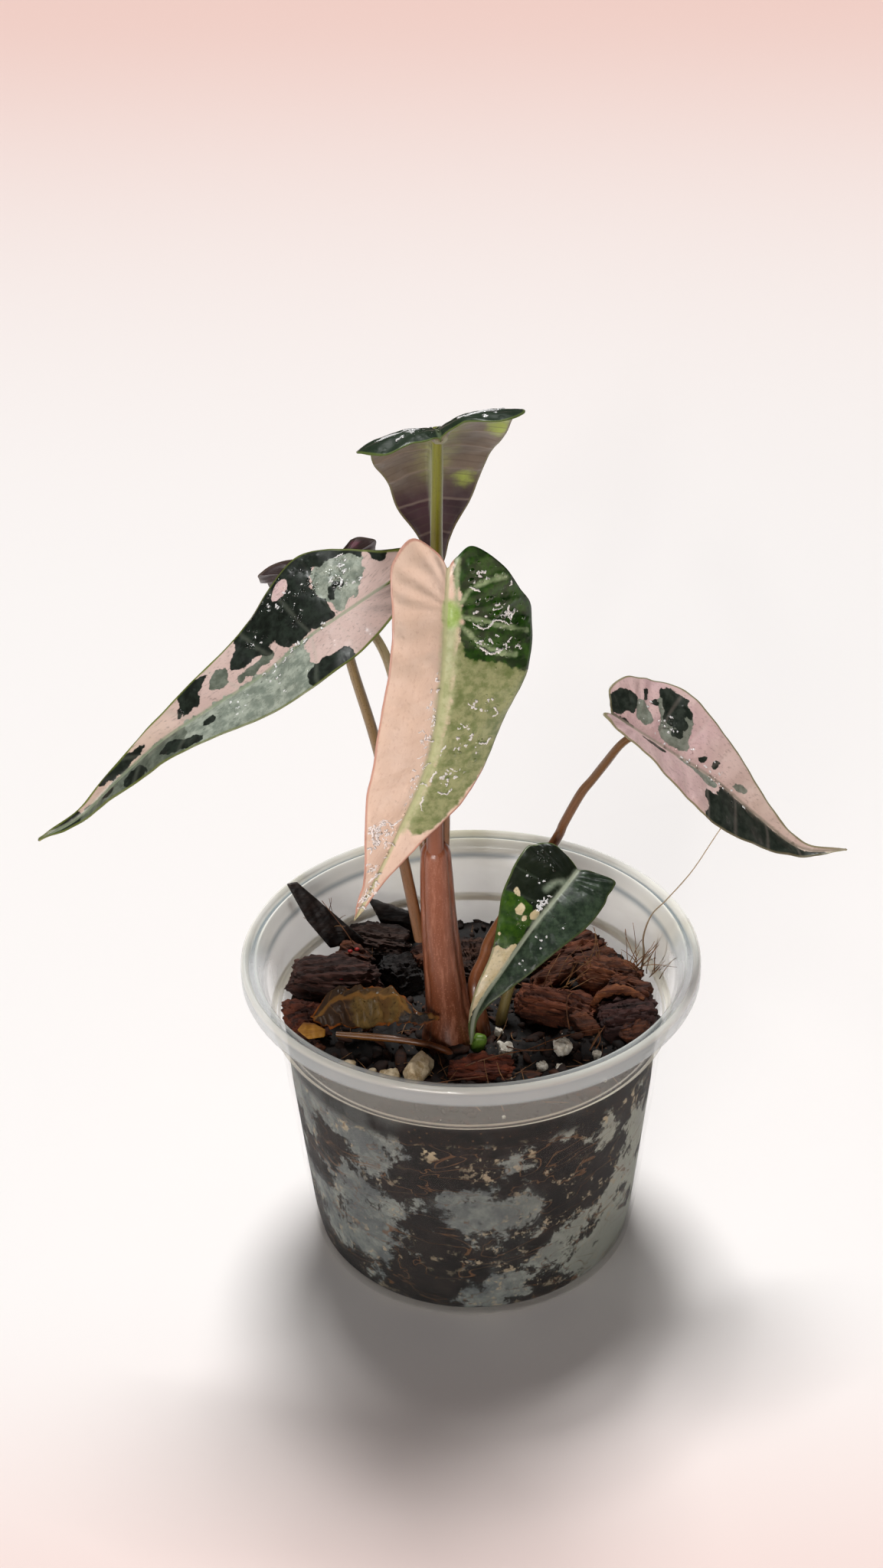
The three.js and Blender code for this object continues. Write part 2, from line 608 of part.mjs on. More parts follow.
const COLOUR = {
  pot: "#e6ebea",
  soil: "#2a1c15",
  stem: "#9a5f4c",
  stalk: "#8a6b3e",
  pink: "#d9b0a0",
  dark: "#26352a",
  under: "#5a4148",
  bark: "#4a2a1f",
  coir: "#7b3f24",
  pebble: "#d9cfae",
  perlite: "#ece8de",
  bud: "#5fae2c",
  dried: "#7d5a35",
  shard: "#1d1513",
};
const root = new THREE.Group();
function addMesh(name, geometry, colour, rough) {
  const material = new THREE.MeshStandardMaterial({ color: colour, roughness: rough });
  const mesh = new THREE.Mesh(geometry, material);
  mesh.name = name;
  root.add(mesh);
}

addMesh("pot", potGeometry(), COLOUR.pot, 0.3);

// Seats and holes in the soil, each larger than its piece by the clearance
let soil = toSolid(soilGeometry());
const cut = (g) => (soil = soil.subtract(toSolid(g)));
cut(stalkGeometry(STEM, 14, 8, GAP));
for (const stalk of [STALKS.petiole_low, STALKS.petiole_right]) cut(stalkGeometry(stalk, 8, 14, GAP));
for (const lump of Object.values(LUMPS)) cut(lumpGeometry(lump, GAP * 1.4));
for (const grain of Object.values(GRAINS)) cut(lumpGeometry(grain, GAP * 1.2, 1));
for (const piece of Object.values(LITTER)) cut(stalkGeometry(piece, 6, 12, GAP));
for (const plate of [...Object.values(SHARDS), SCRAP]) cut(plateGeometry(plate, GAP));
addMesh("soil", toGeometry(soil), COLOUR.soil, 0.95);

addMesh("stem_base", stalkGeometry(STEM, 14, 8), COLOUR.stem, 0.45);
for (const [name, stalk] of Object.entries(STALKS)) {
  addMesh(name, stalkGeometry(stalk), COLOUR.stalk, 0.4);
}
for (const [name, leaf] of Object.entries(LEAVES)) {
  addMesh(name, bladeGeometry(leaf), COLOUR[leaf.colour], 0.35);
}
for (const [name, lump] of Object.entries(LUMPS)) {
  addMesh(name, lumpGeometry(lump), COLOUR[lump.colour], 0.9);
}
for (const [name, grain] of Object.entries(GRAINS)) {
  addMesh(name, lumpGeometry(grain, 0, 1), COLOUR[grain.colour], 0.8);
}
for (const [name, piece] of Object.entries(LITTER)) {
  addMesh(name, stalkGeometry(piece, 6, 12), COLOUR.dried, 0.7);
}
for (const [name, piece] of Object.entries(SHARDS)) {
  addMesh(name, plateGeometry(piece), COLOUR.shard, 0.6);
}
addMesh("dried_leaf", bladeGeometry(DRIED, 12, 3), COLOUR.dried, 0.7);
addMesh("dried_scrap", plateGeometry(SCRAP), COLOUR.dried, 0.7);

export default root;
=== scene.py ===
# %% [markdown]
# # A potted bambino alocasia
# This lesson dresses a small arrow-leaved house plant in a clear tub. The CAD solids give the
# size and the place of every piece. Each solid gets a finer mesh of the same form and a
# procedural finish: wet variegated leaves, brown stalks, frosted plastic, bark and damp soil.
# Lengths are written in millimetres and turned into metres where a mesh is made.

# %% Load the frame
import math

import bpy
import numpy as np
from mathutils import Euler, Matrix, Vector


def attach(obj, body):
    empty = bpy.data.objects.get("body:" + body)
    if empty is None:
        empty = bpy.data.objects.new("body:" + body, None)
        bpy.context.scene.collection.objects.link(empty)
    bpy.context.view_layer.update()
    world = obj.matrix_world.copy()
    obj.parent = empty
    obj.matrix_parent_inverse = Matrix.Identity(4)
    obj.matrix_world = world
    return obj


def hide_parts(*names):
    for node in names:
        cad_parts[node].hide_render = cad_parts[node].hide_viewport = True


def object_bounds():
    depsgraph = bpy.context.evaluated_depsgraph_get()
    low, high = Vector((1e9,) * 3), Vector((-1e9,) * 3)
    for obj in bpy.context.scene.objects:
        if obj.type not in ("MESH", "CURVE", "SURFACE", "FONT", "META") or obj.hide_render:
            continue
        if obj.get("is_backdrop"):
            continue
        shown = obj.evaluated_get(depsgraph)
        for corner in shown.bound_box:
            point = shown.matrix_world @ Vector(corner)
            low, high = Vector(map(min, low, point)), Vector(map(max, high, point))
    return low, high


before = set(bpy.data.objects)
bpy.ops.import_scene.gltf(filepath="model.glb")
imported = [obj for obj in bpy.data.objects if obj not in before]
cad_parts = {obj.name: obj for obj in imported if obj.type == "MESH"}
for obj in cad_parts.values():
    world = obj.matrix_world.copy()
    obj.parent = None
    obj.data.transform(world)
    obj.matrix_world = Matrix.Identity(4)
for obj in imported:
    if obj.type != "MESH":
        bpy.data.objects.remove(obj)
MM = 0.001
cad_low, cad_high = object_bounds()
print("CAD box in mm:", [round(v / MM, 1) for v in (cad_high - cad_low)])

# %% [markdown]
# ## Working helpers
# A new piece starts as a primitive that is added by an operator. An operator acts on all that is
# selected, so everything is deselected first. A finished piece keeps its place in its mesh, rides
# on the one body and stands for its CAD solid.

# %% Start, edit and finish a piece


def start(add, name, **sizes):
    """Adds one primitive with nothing else selected, and names it."""
    bpy.ops.object.select_all(action="DESELECT")
    add(**sizes)
    piece = bpy.context.object
    piece.name = piece.data.name = name
    return piece


def pick(piece):
    """Selects one piece alone and makes it the active one."""
    bpy.ops.object.select_all(action="DESELECT")
    piece.select_set(True)
    bpy.context.view_layer.objects.active = piece


def edit(piece):
    """Opens one piece in edit mode, with all of it selected."""
    pick(piece)
    bpy.ops.object.mode_set(mode="EDIT")
    bpy.ops.mesh.select_all(action="SELECT")


def done():
    """Leaves edit mode."""
    bpy.ops.object.mode_set(mode="OBJECT")


def apply_all(piece):
    """Applies the piece's modifiers in their order."""
    pick(piece)
    for modifier in list(piece.modifiers):
        bpy.ops.object.modifier_apply(modifier=modifier.name)


def smooth(piece, angle=None):
    """Shades a piece smooth, or only where its faces meet at less than an angle in degrees."""
    pick(piece)
    if angle is None:
        bpy.ops.object.shade_smooth()
    else:
        bpy.ops.object.shade_smooth_by_angle(angle=math.radians(angle))


def finish_piece(piece, slot, *nodes, made=None):
    """Gives a piece its material, its body and its CAD solids. Its slot is not used."""
    if made:
        piece.data.materials.append(made)
    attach(piece, "root")
    if nodes:
        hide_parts(*nodes)
    print(piece.name, len(piece.data.polygons), "faces")


def corners(piece):
    """A piece's vertices as rows of x, y and z in mm."""
    flat = np.empty(len(piece.data.vertices) * 3)
    piece.data.vertices.foreach_get("co", flat)
    return flat.reshape(-1, 3) / MM


def place_corners(piece, points):
    """Puts a piece's vertices at rows of x, y and z in mm."""
    piece.data.vertices.foreach_set("co", (np.asarray(points) * MM).ravel())
    piece.data.update()


def note(piece, name, values):
    """Stores one number at each vertex, for a material to read."""
    made = piece.data.attributes.new(name, "FLOAT", "POINT")
    made.data.foreach_set("value", np.asarray(values, np.float32))


# %% [markdown]
# ## Node helpers
# A material is a small tree of nodes. These helpers add one node to the tree that is being made,
# join it, and give back the socket that holds its result, so a finish reads as a few short lines.

# %% Node helpers


class Bench:
    """Holds the node tree that is being made. A new finish or group puts its own tree there."""

    tree = None


def colour(code):
    """A web colour as the linear values that a shader reads."""
    parts = [int(code[i : i + 2], 16) / 255 for i in (1, 3, 5)]
    linear = [v / 12.92 if v <= 0.04045 else ((v + 0.055) / 1.055) ** 2.4 for v in parts]
    return (*linear, 1.0)


def fill(made, values):
    """Gives each input of a node a number, a colour or another node's socket."""
    for key, value in values.items():
        if isinstance(value, bpy.types.NodeSocket):
            Bench.tree.links.new(value, made.inputs[key])
        else:
            made.inputs[key].default_value = value


def node(kind, inputs=None, **settings):
    """Adds a node with its settings and inputs."""
    made = Bench.tree.nodes.new("ShaderNode" + kind)
    for key, value in settings.items():
        setattr(made, key, value)
    fill(made, inputs or {})
    return made


def sum_of(operation, a, b=0.5, c=0.5):
    """One step of arithmetic."""
    return node("Math", {0: a, 1: b, 2: c}, operation=operation).outputs[0]


def times(a, b):
    """A product."""
    return sum_of("MULTIPLY", a, b)


def times_plus(a, b, c):
    """A product of two, and a third added."""
    return sum_of("MULTIPLY_ADD", a, b, c)


def plus(a, b):
    """A sum."""
    return sum_of("ADD", a, b)


def minus(a, b):
    """A difference."""
    return sum_of("SUBTRACT", a, b)


def rest(share):
    """What a share leaves of one."""
    return minus(1.0, share)


def larger(a, b):
    """The larger of two."""
    return sum_of("MAXIMUM", a, b)


def smaller(a, b):
    """The smaller of two."""
    return sum_of("MINIMUM", a, b)


def size_of(a):
    """A number without its sign."""
    return sum_of("ABSOLUTE", a)


def blend(share, a, b, way="MIX"):
    """Colour a turned towards colour b by a share."""
    return node("Mix", {0: share, 6: a, 7: b}, data_type="RGBA", blend_type=way).outputs[2]


def over(tone, code, share, strength=1.0, way="MIX"):
    """A web colour laid over a tone by a share, which a strength may weaken."""
    return blend(share if strength == 1.0 else times(share, strength), tone, colour(code), way)


def between(value, low, high, out_low=0.0, out_high=1.0):
    """A value's place from low to high, smooth at both ends."""
    inputs = {0: value, 1: low, 2: high, 3: out_low, 4: out_high}
    return node("MapRange", inputs, interpolation_type="SMOOTHSTEP").outputs[0]


def fading(value, low, high):
    """One up to low, and none from high on."""
    return rest(between(value, low, high))


def noise(vector, scale, detail=2.0, rough=0.5, bend=0.0):
    """Smooth noise from 0 to 1 at points per metre."""
    inputs = {"Vector": vector, "Scale": scale, "Detail": detail, "Roughness": rough, "Distortion": bend}
    return node("TexNoise", inputs).outputs[0]


def stretched(vector, scale, turn=(0, 0, 0)):
    """Coordinates that are scaled and turned."""
    return node("Mapping", {"Vector": vector, "Scale": scale, "Rotation": turn}).outputs[0]


def stored(name):
    """A number that a mesh keeps at its vertices."""
    return node("Attribute", attribute_name=name).outputs["Fac"]


def object_place():
    """A point's place on the piece, in metres."""
    return node("TexCoord").outputs["Object"]


def times_vector(vector, by):
    """A point multiplied by a vector, axis by axis."""
    return node("VectorMath", {0: vector, 1: by}, operation="MULTIPLY").outputs[0]


def axis(vector, letter):
    """One coordinate of a point."""
    return node("SeparateXYZ", {0: vector}).outputs[letter]


def bump(height, strength, depth, normal=None):
    """A normal that is tipped by a height. The depth is in mm."""
    inputs = {"Height": height, "Strength": strength, "Distance": depth * MM}
    if normal is not None:
        inputs["Normal"] = normal
    return node("Bump", inputs).outputs[0]


def spaced(values):
    """Input names with their spaces, from Python names."""
    return {key.replace("_", " "): value for key, value in values.items()}


def finish_of(name, **values):
    """A new material and its main shader."""
    made = bpy.data.materials.new(name)
    made.use_nodes = True
    Bench.tree = made.node_tree
    shader = made.node_tree.nodes["Principled BSDF"]
    fill(shader, spaced(values))
    return made, shader


def feed(shader, **sockets):
    """Joins sockets to a shader's inputs."""
    fill(shader, spaced(sockets))


def new_group(name, takes, gives):
    """A node group with named inputs and outputs. Gives the group and its inputs."""
    group = bpy.data.node_groups.new(name, "ShaderNodeTree")
    for label, kind, value in takes:
        made = group.interface.new_socket(label, in_out="INPUT", socket_type="NodeSocket" + kind)
        if value is not None:
            made.default_value = value
    for label in gives:
        group.interface.new_socket(label, in_out="OUTPUT", socket_type="NodeSocketFloat")
    Bench.tree = group
    return group, group.nodes.new("NodeGroupInput").outputs


def give(**sockets):
    """Joins results to the outputs of the group that is being made."""
    fill(Bench.tree.nodes.new("NodeGroupOutput"), sockets)


def use(group, **inputs):
    """Places a node group. Its inputs are given by their names."""
    made = Bench.tree.nodes.new("ShaderNodeGroup")
    made.node_tree = group
    fill(made, spaced(inputs))
    return made.outputs


# %% [markdown]
# ## Shared effects
# Some effects return on many pieces, so each is a node group. Ragged turns a stored distance into
# a mask with a torn edge, as leaf colours have. Lines draws the side veins. Grain gives fibres
# along one axis for bark and husk. Specks scatters small dots. Wet gives beads and films of water.

# %% Ragged edges from a stored distance


def make_ragged():
    """A mask that is 1 where a distance in mm is above 0, with an edge torn by noise."""
    takes = [
        ("Distance", "Float", 0.0), ("Vector", "Vector", None), ("Tear", "Float", 0.8),
        ("Size", "Float", 600.0), ("Blur", "Float", 0.12),
    ]
    group, given = new_group("ragged_edge", takes, ["Mask"])
    wide = noise(given["Vector"], given["Size"], 3.0, 0.6)
    tear = times(times(minus(wide, 0.5), given["Tear"]), 4.0)
    moved = plus(given["Distance"], tear)
    give(Mask=between(moved, times(given["Blur"], -1.0), given["Blur"]))
    return group


ragged = make_ragged()

# %% Vein lines, grain, specks and water


def make_lines():
    """Thin lines where a row number is whole, as side veins leave a midrib."""
    takes = [("Row", "Float", 0.0), ("Width", "Float", 0.08), ("Bend", "Float", 0.0)]
    group, given = new_group("vein_lines", takes, ["Mask"])
    row = plus(given["Row"], given["Bend"])
    near = minus(0.5, size_of(minus(sum_of("FRACT", row), 0.5)))
    give(Mask=fading(near, 0.0, given["Width"]))
    return group


def make_grain():
    """Fibres along X: long thin noise, with a finer layer over it."""
    takes = [("Vector", "Vector", None), ("Size", "Float", 900.0), ("Long", "Float", 0.08)]
    group, given = new_group("fibre_grain", takes, ["Height", "Fine"])
    scale = node("CombineXYZ", {0: given["Long"], 1: 1.0, 2: 1.0}).outputs[0]
    long = stretched(given["Vector"], scale)
    height = noise(long, given["Size"], 4.0, 0.65, 0.4)
    give(Height=height, Fine=noise(long, times(given["Size"], 3.1), 3.0, 0.7, 0.2))
    return group


def make_specks():
    """Small round dots that stand apart."""
    takes = [("Vector", "Vector", None), ("Size", "Float", 400.0), ("Radius", "Float", 0.2)]
    group, given = new_group("specks", takes, ["Mask"])
    inputs = {"Vector": given["Vector"], "Scale": given["Size"], "Randomness": 1.0}
    cells = node("TexVoronoi", inputs)
    give(Mask=fading(cells.outputs[0], times(given["Radius"], 0.7), given["Radius"]))
    return group


def make_wet():
    """Height of water on a leaf: round beads, and a film with wavy edges."""
    takes = [("Vector", "Vector", None), ("Beads", "Float", 900.0), ("Film", "Float", 260.0)]
    group, given = new_group("water", takes, ["Beads", "Film"])
    small = {"Vector": given["Vector"], "Scale": given["Beads"], "Randomness": 1.0}
    cells = node("TexVoronoi", small, feature="SMOOTH_F1")
    bead = fading(cells.outputs[0], 0.08, 0.42)
    patchy = between(noise(given["Vector"], 140.0, 2.0), 0.42, 0.62)
    film = noise(given["Vector"], given["Film"], 2.0, 0.5, 1.4)
    give(Beads=times(bead, patchy), Film=between(film, 0.4, 0.62))
    return group


vein_lines = make_lines()
fibre_grain = make_grain()
specks = make_specks()
water = make_wet()
print("shared effects:", [group.name for group in bpy.data.node_groups])

# %% [markdown]
# ## Camera, floor and light
# The camera stands where the photograph was taken, above the tub and looking down by about 30
# degrees. Its lens is worked out from the rim's oval. A pale floor and a broad back light
# give the soft shadow in front of the tub, and a small soft panel above the camera makes the gloss
# on the wet leaves. The floor is painted near white round the tub and rosy further off: a painted glow of
# light.

# %% Camera
CAMERA_AT = (-6.56, -419.77, 374.12)  # mm
CAMERA_DOWN = 29.75  # degrees below the horizon
CAMERA_ROLL = -1.09  # degrees
LENS = 45.7  # mm, on a 36 mm long side

bpy.ops.object.camera_add(location=Vector(CAMERA_AT) * MM)
camera = bpy.context.object
camera.name = "photo_camera"
camera.data.lens = LENS
camera.data.sensor_width = 36
camera.data.clip_start = 0.01
camera.data.clip_end = 20
tip_down = Euler((math.radians(90 - CAMERA_DOWN), 0, 0)).to_matrix()
roll = Euler((0, 0, math.radians(CAMERA_ROLL))).to_matrix()
camera.rotation_euler = (tip_down @ roll).to_euler()
bpy.context.scene.camera = camera
print("camera at", [round(v, 3) for v in camera.location])

# %% Floor and light
scene = bpy.context.scene
scene.view_settings.view_transform = "Standard"

floor_finish, shader = finish_of("pale_floor", Roughness=0.9, Specular_IOR_Level=0.1)
depth = axis(object_place(), "Y")
# The floor is near white around the tub and rosy further back and towards the camera: a painted glow of
# light on a rosy floor.
rosy_past_glow = larger(between(depth, 0.3, 2.2), between(depth, -0.02, -0.2))
feed(shader, Base_Color=blend(rosy_past_glow, colour("#f8f4f2"), colour("#f0cfc6")))

floor = start(bpy.ops.mesh.primitive_plane_add, "floor", size=16)
floor.data.materials.append(floor_finish)
floor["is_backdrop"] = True

world = bpy.data.worlds.new("soft_room")
scene.world = world
world.use_nodes = True
world.node_tree.nodes["Background"].inputs["Color"].default_value = colour("#fbf1ee")
world.node_tree.nodes["Background"].inputs["Strength"].default_value = 0.035


PLANT_MIDDLE = (0, 0, 110)  # mm


def add_light(kind, name, power, tint="#ffffff", at=(0, 0, 0)):
    """A light at a place in mm."""
    bpy.ops.object.light_add(type=kind, location=Vector(at) * MM)
    light = bpy.context.object
    light.name = name
    light.data.energy = power
    light.data.color = colour(tint)[:3]
    return light


def sun(name, azimuth, elevation, power, spread, tint="#ffffff"):
    """A broad even light from a direction. Azimuth 0 is behind the plant and 90 at its right."""
    light = add_light("SUN", name, power, tint)
    light.data.angle = math.radians(spread)
    turn, rise = math.radians(azimuth), math.radians(elevation)
    towards = Vector((math.sin(turn), math.cos(turn), 0)) * math.cos(rise)
    towards.z = math.sin(rise)
    light.rotation_euler = towards.to_track_quat("Z", "Y").to_euler()


def soft_light(name, at, size, power):
    """A rectangular light that looks at the middle of the plant. Lengths are in mm."""
    light = add_light("AREA", name, power, at=at)
    light.data.shape = "RECTANGLE"
    light.data.size, light.data.size_y = size[0] * MM, size[1] * MM
    aim = Vector(PLANT_MIDDLE) - Vector(at)
    light.rotation_euler = aim.to_track_quat("-Z", "Y").to_euler()


sun("back_key", -3, 66, 3.05, 17)
sun("front_fill", 200, 3.5, 2.25, 30, "#fffaf6")
sun("sparkle", 190, 18, 0.3, 4)
soft_light("gloss_panel", (-150, -300, 560), (110, 80), 0.13)
soft_light("top_panel", (60, 260, 640), (360, 260), 0.08)

# %% [markdown]
# ## Curves
# Leaves and stalks follow smooth curves through a few measured points. One function reads such a
# curve, for single numbers and for points alike, and a closed outline is rounded by cutting its
# corners twice.

# %% Smooth curves and outlines


def unit(rows):
    """Rows of vectors made one long."""
    return rows / np.linalg.norm(rows, axis=-1, keepdims=True)


def curve(points, u):
    """Reads a smooth curve through numbers or points at each u from 0 to 1."""
    points = np.array(points, float)
    last = len(points) - 1
    at = np.clip(np.atleast_1d(u), 0, 1) * last
    i = np.minimum(np.floor(at).astype(int), last - 1)
    wide = (...,) + (None,) * (points.ndim - 1)
    part = (at - i)[wide]
    here, after = points[i], points[i + 1]
    before = np.where((i > 0)[wide], points[np.maximum(i - 1, 0)], 2 * here - after)
    later = np.where((i + 2 <= last)[wide], points[np.minimum(i + 2, last)], 2 * after - here)
    square = (2 * before - 5 * here + 4 * after - later) * part**2
    cube = (3 * here - before - 3 * after + later) * part**3
    return 0.5 * (2 * here + (after - before) * part + square + cube)


def rounded(outline):
    """Cuts the corners of a closed outline twice."""
    points = np.array(outline, float)
    for _ in range(2):
        after = np.roll(points, -1, axis=0)
        points = np.stack([0.75 * points + 0.25 * after, 0.25 * points + 0.75 * after], 1)
        points = points.reshape(-1, 2)
    return points


def to_segment(x, y, start_at, end_at):
    """Distance of each place from a straight piece of line."""
    (ax, ay), (bx, by) = start_at, end_at
    dx, dy = bx - ax, by - ay
    t = np.clip(((x - ax) * dx + (y - ay) * dy) / max(dx * dx + dy * dy, 1e-9), 0, 1)
    return np.hypot(x - ax - t * dx, y - ay - t * dy)


def depth_inside(outlines, x, y):
    """How far each place is inside the nearest of some outlines, in mm. Outside is negative."""
    best = np.full(len(x), -30.0)
    for outline in outlines:
        ring = rounded(outline)
        nearest = np.full(len(x), 1e9)
        inside = np.zeros(len(x), bool)
        for (ax, ay), (bx, by) in zip(ring, np.roll(ring, -1, axis=0)):
            nearest = np.minimum(nearest, to_segment(x, y, (ax, ay), (bx, by)))
            if ay != by:
                inside ^= ((ay > y) != (by > y)) & (x < ax + (y - ay) * (bx - ax) / (by - ay))
        best = np.maximum(best, np.where(inside, nearest, -nearest))
    return best


def near_line(points, x, y):
    """Distance in mm from a smooth line through a few places."""
    line = curve(points, np.linspace(0, 1, 8 * len(points)))
    return np.min([to_segment(x, y, a, b) for a, b in zip(line, line[1:])], axis=0)


# %% [markdown]
# ## How a blade is shaped
# An arrow-shaped blade is a midrib with a half on each side. Each half runs from the tip, round a
# basal lobe, to the notch where the stalk joins. Rows of the mesh follow the side veins from the
# midrib to the edge, so relief and vein lines need only the row number. The blade is folded along
# the midrib, its edges curl and ripple, and the tissue between two side veins is domed.

# %% A blade's surface
STATIONS = [0.93, 0.82, 0.68, 0.52, 0.38, 0.25, 0.12, 0]  # edge places, as shares of the length
VEIN_FOOT = [0.92, 0.79, 0.63, 0.46, 0.31, 0.19, 0.08, 0.012]  # where their veins leave the midrib
MIDRIB_STEPS = 160
HALF_WIDTH = 15  # mm from the midrib at which curl and wave are stated
LIFT_WIDTH = 6  # mm from the midrib at which a lobe has its whole lift
RIPPLE = 5.5  # mm of blade over which the wave turns by one radian
VEIN_ROWS = 13  # vein rows from the tip to the notch


class Blade:
    """A blade's middle surface, read at places along the midrib and across it in mm."""

    def __init__(self, leaf):
        self.leaf = leaf
        self.line = curve(leaf["mid"], np.linspace(0, 1, MIDRIB_STEPS + 1))
        steps = np.linalg.norm(np.diff(self.line, axis=0), axis=1)
        self.reach = np.concatenate([[0], np.cumsum(steps)])
        self.length = self.reach[-1]

    def place(self, along, across):
        """Points of the surface as rows of x, y and z in mm."""
        leaf, line, reach = self.leaf, self.line, self.reach
        on = np.clip(along, 0, self.length)
        i = np.clip(np.searchsorted(reach, on), 1, MIDRIB_STEPS)
        f = (on - reach[i - 1]) / (reach[i] - reach[i - 1])
        p = line[i - 1] + (line[i] - line[i - 1]) * f[:, None]
        tangent = unit(line[np.minimum(i + 2, MIDRIB_STEPS)] - line[np.maximum(i - 3, 0)])
        face = unit(curve(leaf["face"], (i - 1 + f) / MIDRIB_STEPS))
        side = unit(np.cross(tangent, face))
        up = np.cross(side, tangent)
        back, w, hand = np.minimum(along, 0), np.abs(across), np.sign(across)
        flat = 1 / np.hypot(1, leaf["fold"])
        lift = np.where(across < 0, leaf["left"]["lift"], leaf["right"]["lift"])
        rise = leaf["fold"] * w + leaf["curl"] * w**2 / HALF_WIDTH
        rise -= back * lift * np.minimum(w / LIFT_WIDTH, 1)
        rise += leaf["wave"] * np.sin(along / RIPPLE + hand) * (w / HALF_WIDTH) ** 2
        rise -= leaf.get("droop", 0) * (np.minimum(along + 1.5, 0) / 11) ** 2
        p = p + back[:, None] * tangent + (hand * w * flat)[:, None] * side
        return p + (rise * flat)[:, None] * up

    def normal(self, along, across):
        """The way the upper face looks at each place."""
        step = 0.4
        wide = self.place(along, across + step) - self.place(along, across - step)
        long = self.place(along + step, across) - self.place(along - step, across)
        return unit(np.cross(wide, long))

    def half(self, side, u):
        """Edge place, half width and vein foot of one half at each u from tip to notch."""
        lobe, notch, wide = side["lobe"], self.leaf["notch"], side["lobeHalf"]
        edge = [[self.length, 0]] + [[s * self.length, h] for s, h in zip(STATIONS, side["half"])]
        edge += [[-0.35 * lobe, wide[0]], [-0.7 * lobe, wide[1]], [-lobe, wide[2]]]
        edge += [[-0.5 * (lobe + notch), 0.3 * wide[2]], [-notch, 0]]
        foot = [self.length] + [s * self.length for s in VEIN_FOOT]
        foot += [-share * notch for share in (0.1, 0.25, 0.5, 0.78, 1)]
        return curve(edge, u), curve(foot, u)

    def inside(self, along, across, margin):
        """True for places at least a margin in mm inside the blade's edge."""
        deepest = np.full(len(along), -9.0)
        for hand, side in ((-1, self.leaf["left"]), (1, self.leaf["right"])):
            edge = self.half(side, np.linspace(0.02, 1, 22))[0] * (1, hand)
            closing = [(-self.leaf["notch"], -3 * hand), (self.length - 3, -3 * hand)]
            deepest = np.maximum(deepest, depth_inside([[*edge, *closing]], along, across))
        return deepest > margin


# %% The six blades


def half_of(widths, lobe, lobe_widths, lift=0):
    """One half of a blade: its widths at the stations, and its lobe's length, widths and lift."""
    return {"half": widths, "lobe": lobe, "lobeHalf": lobe_widths, "lift": lift}


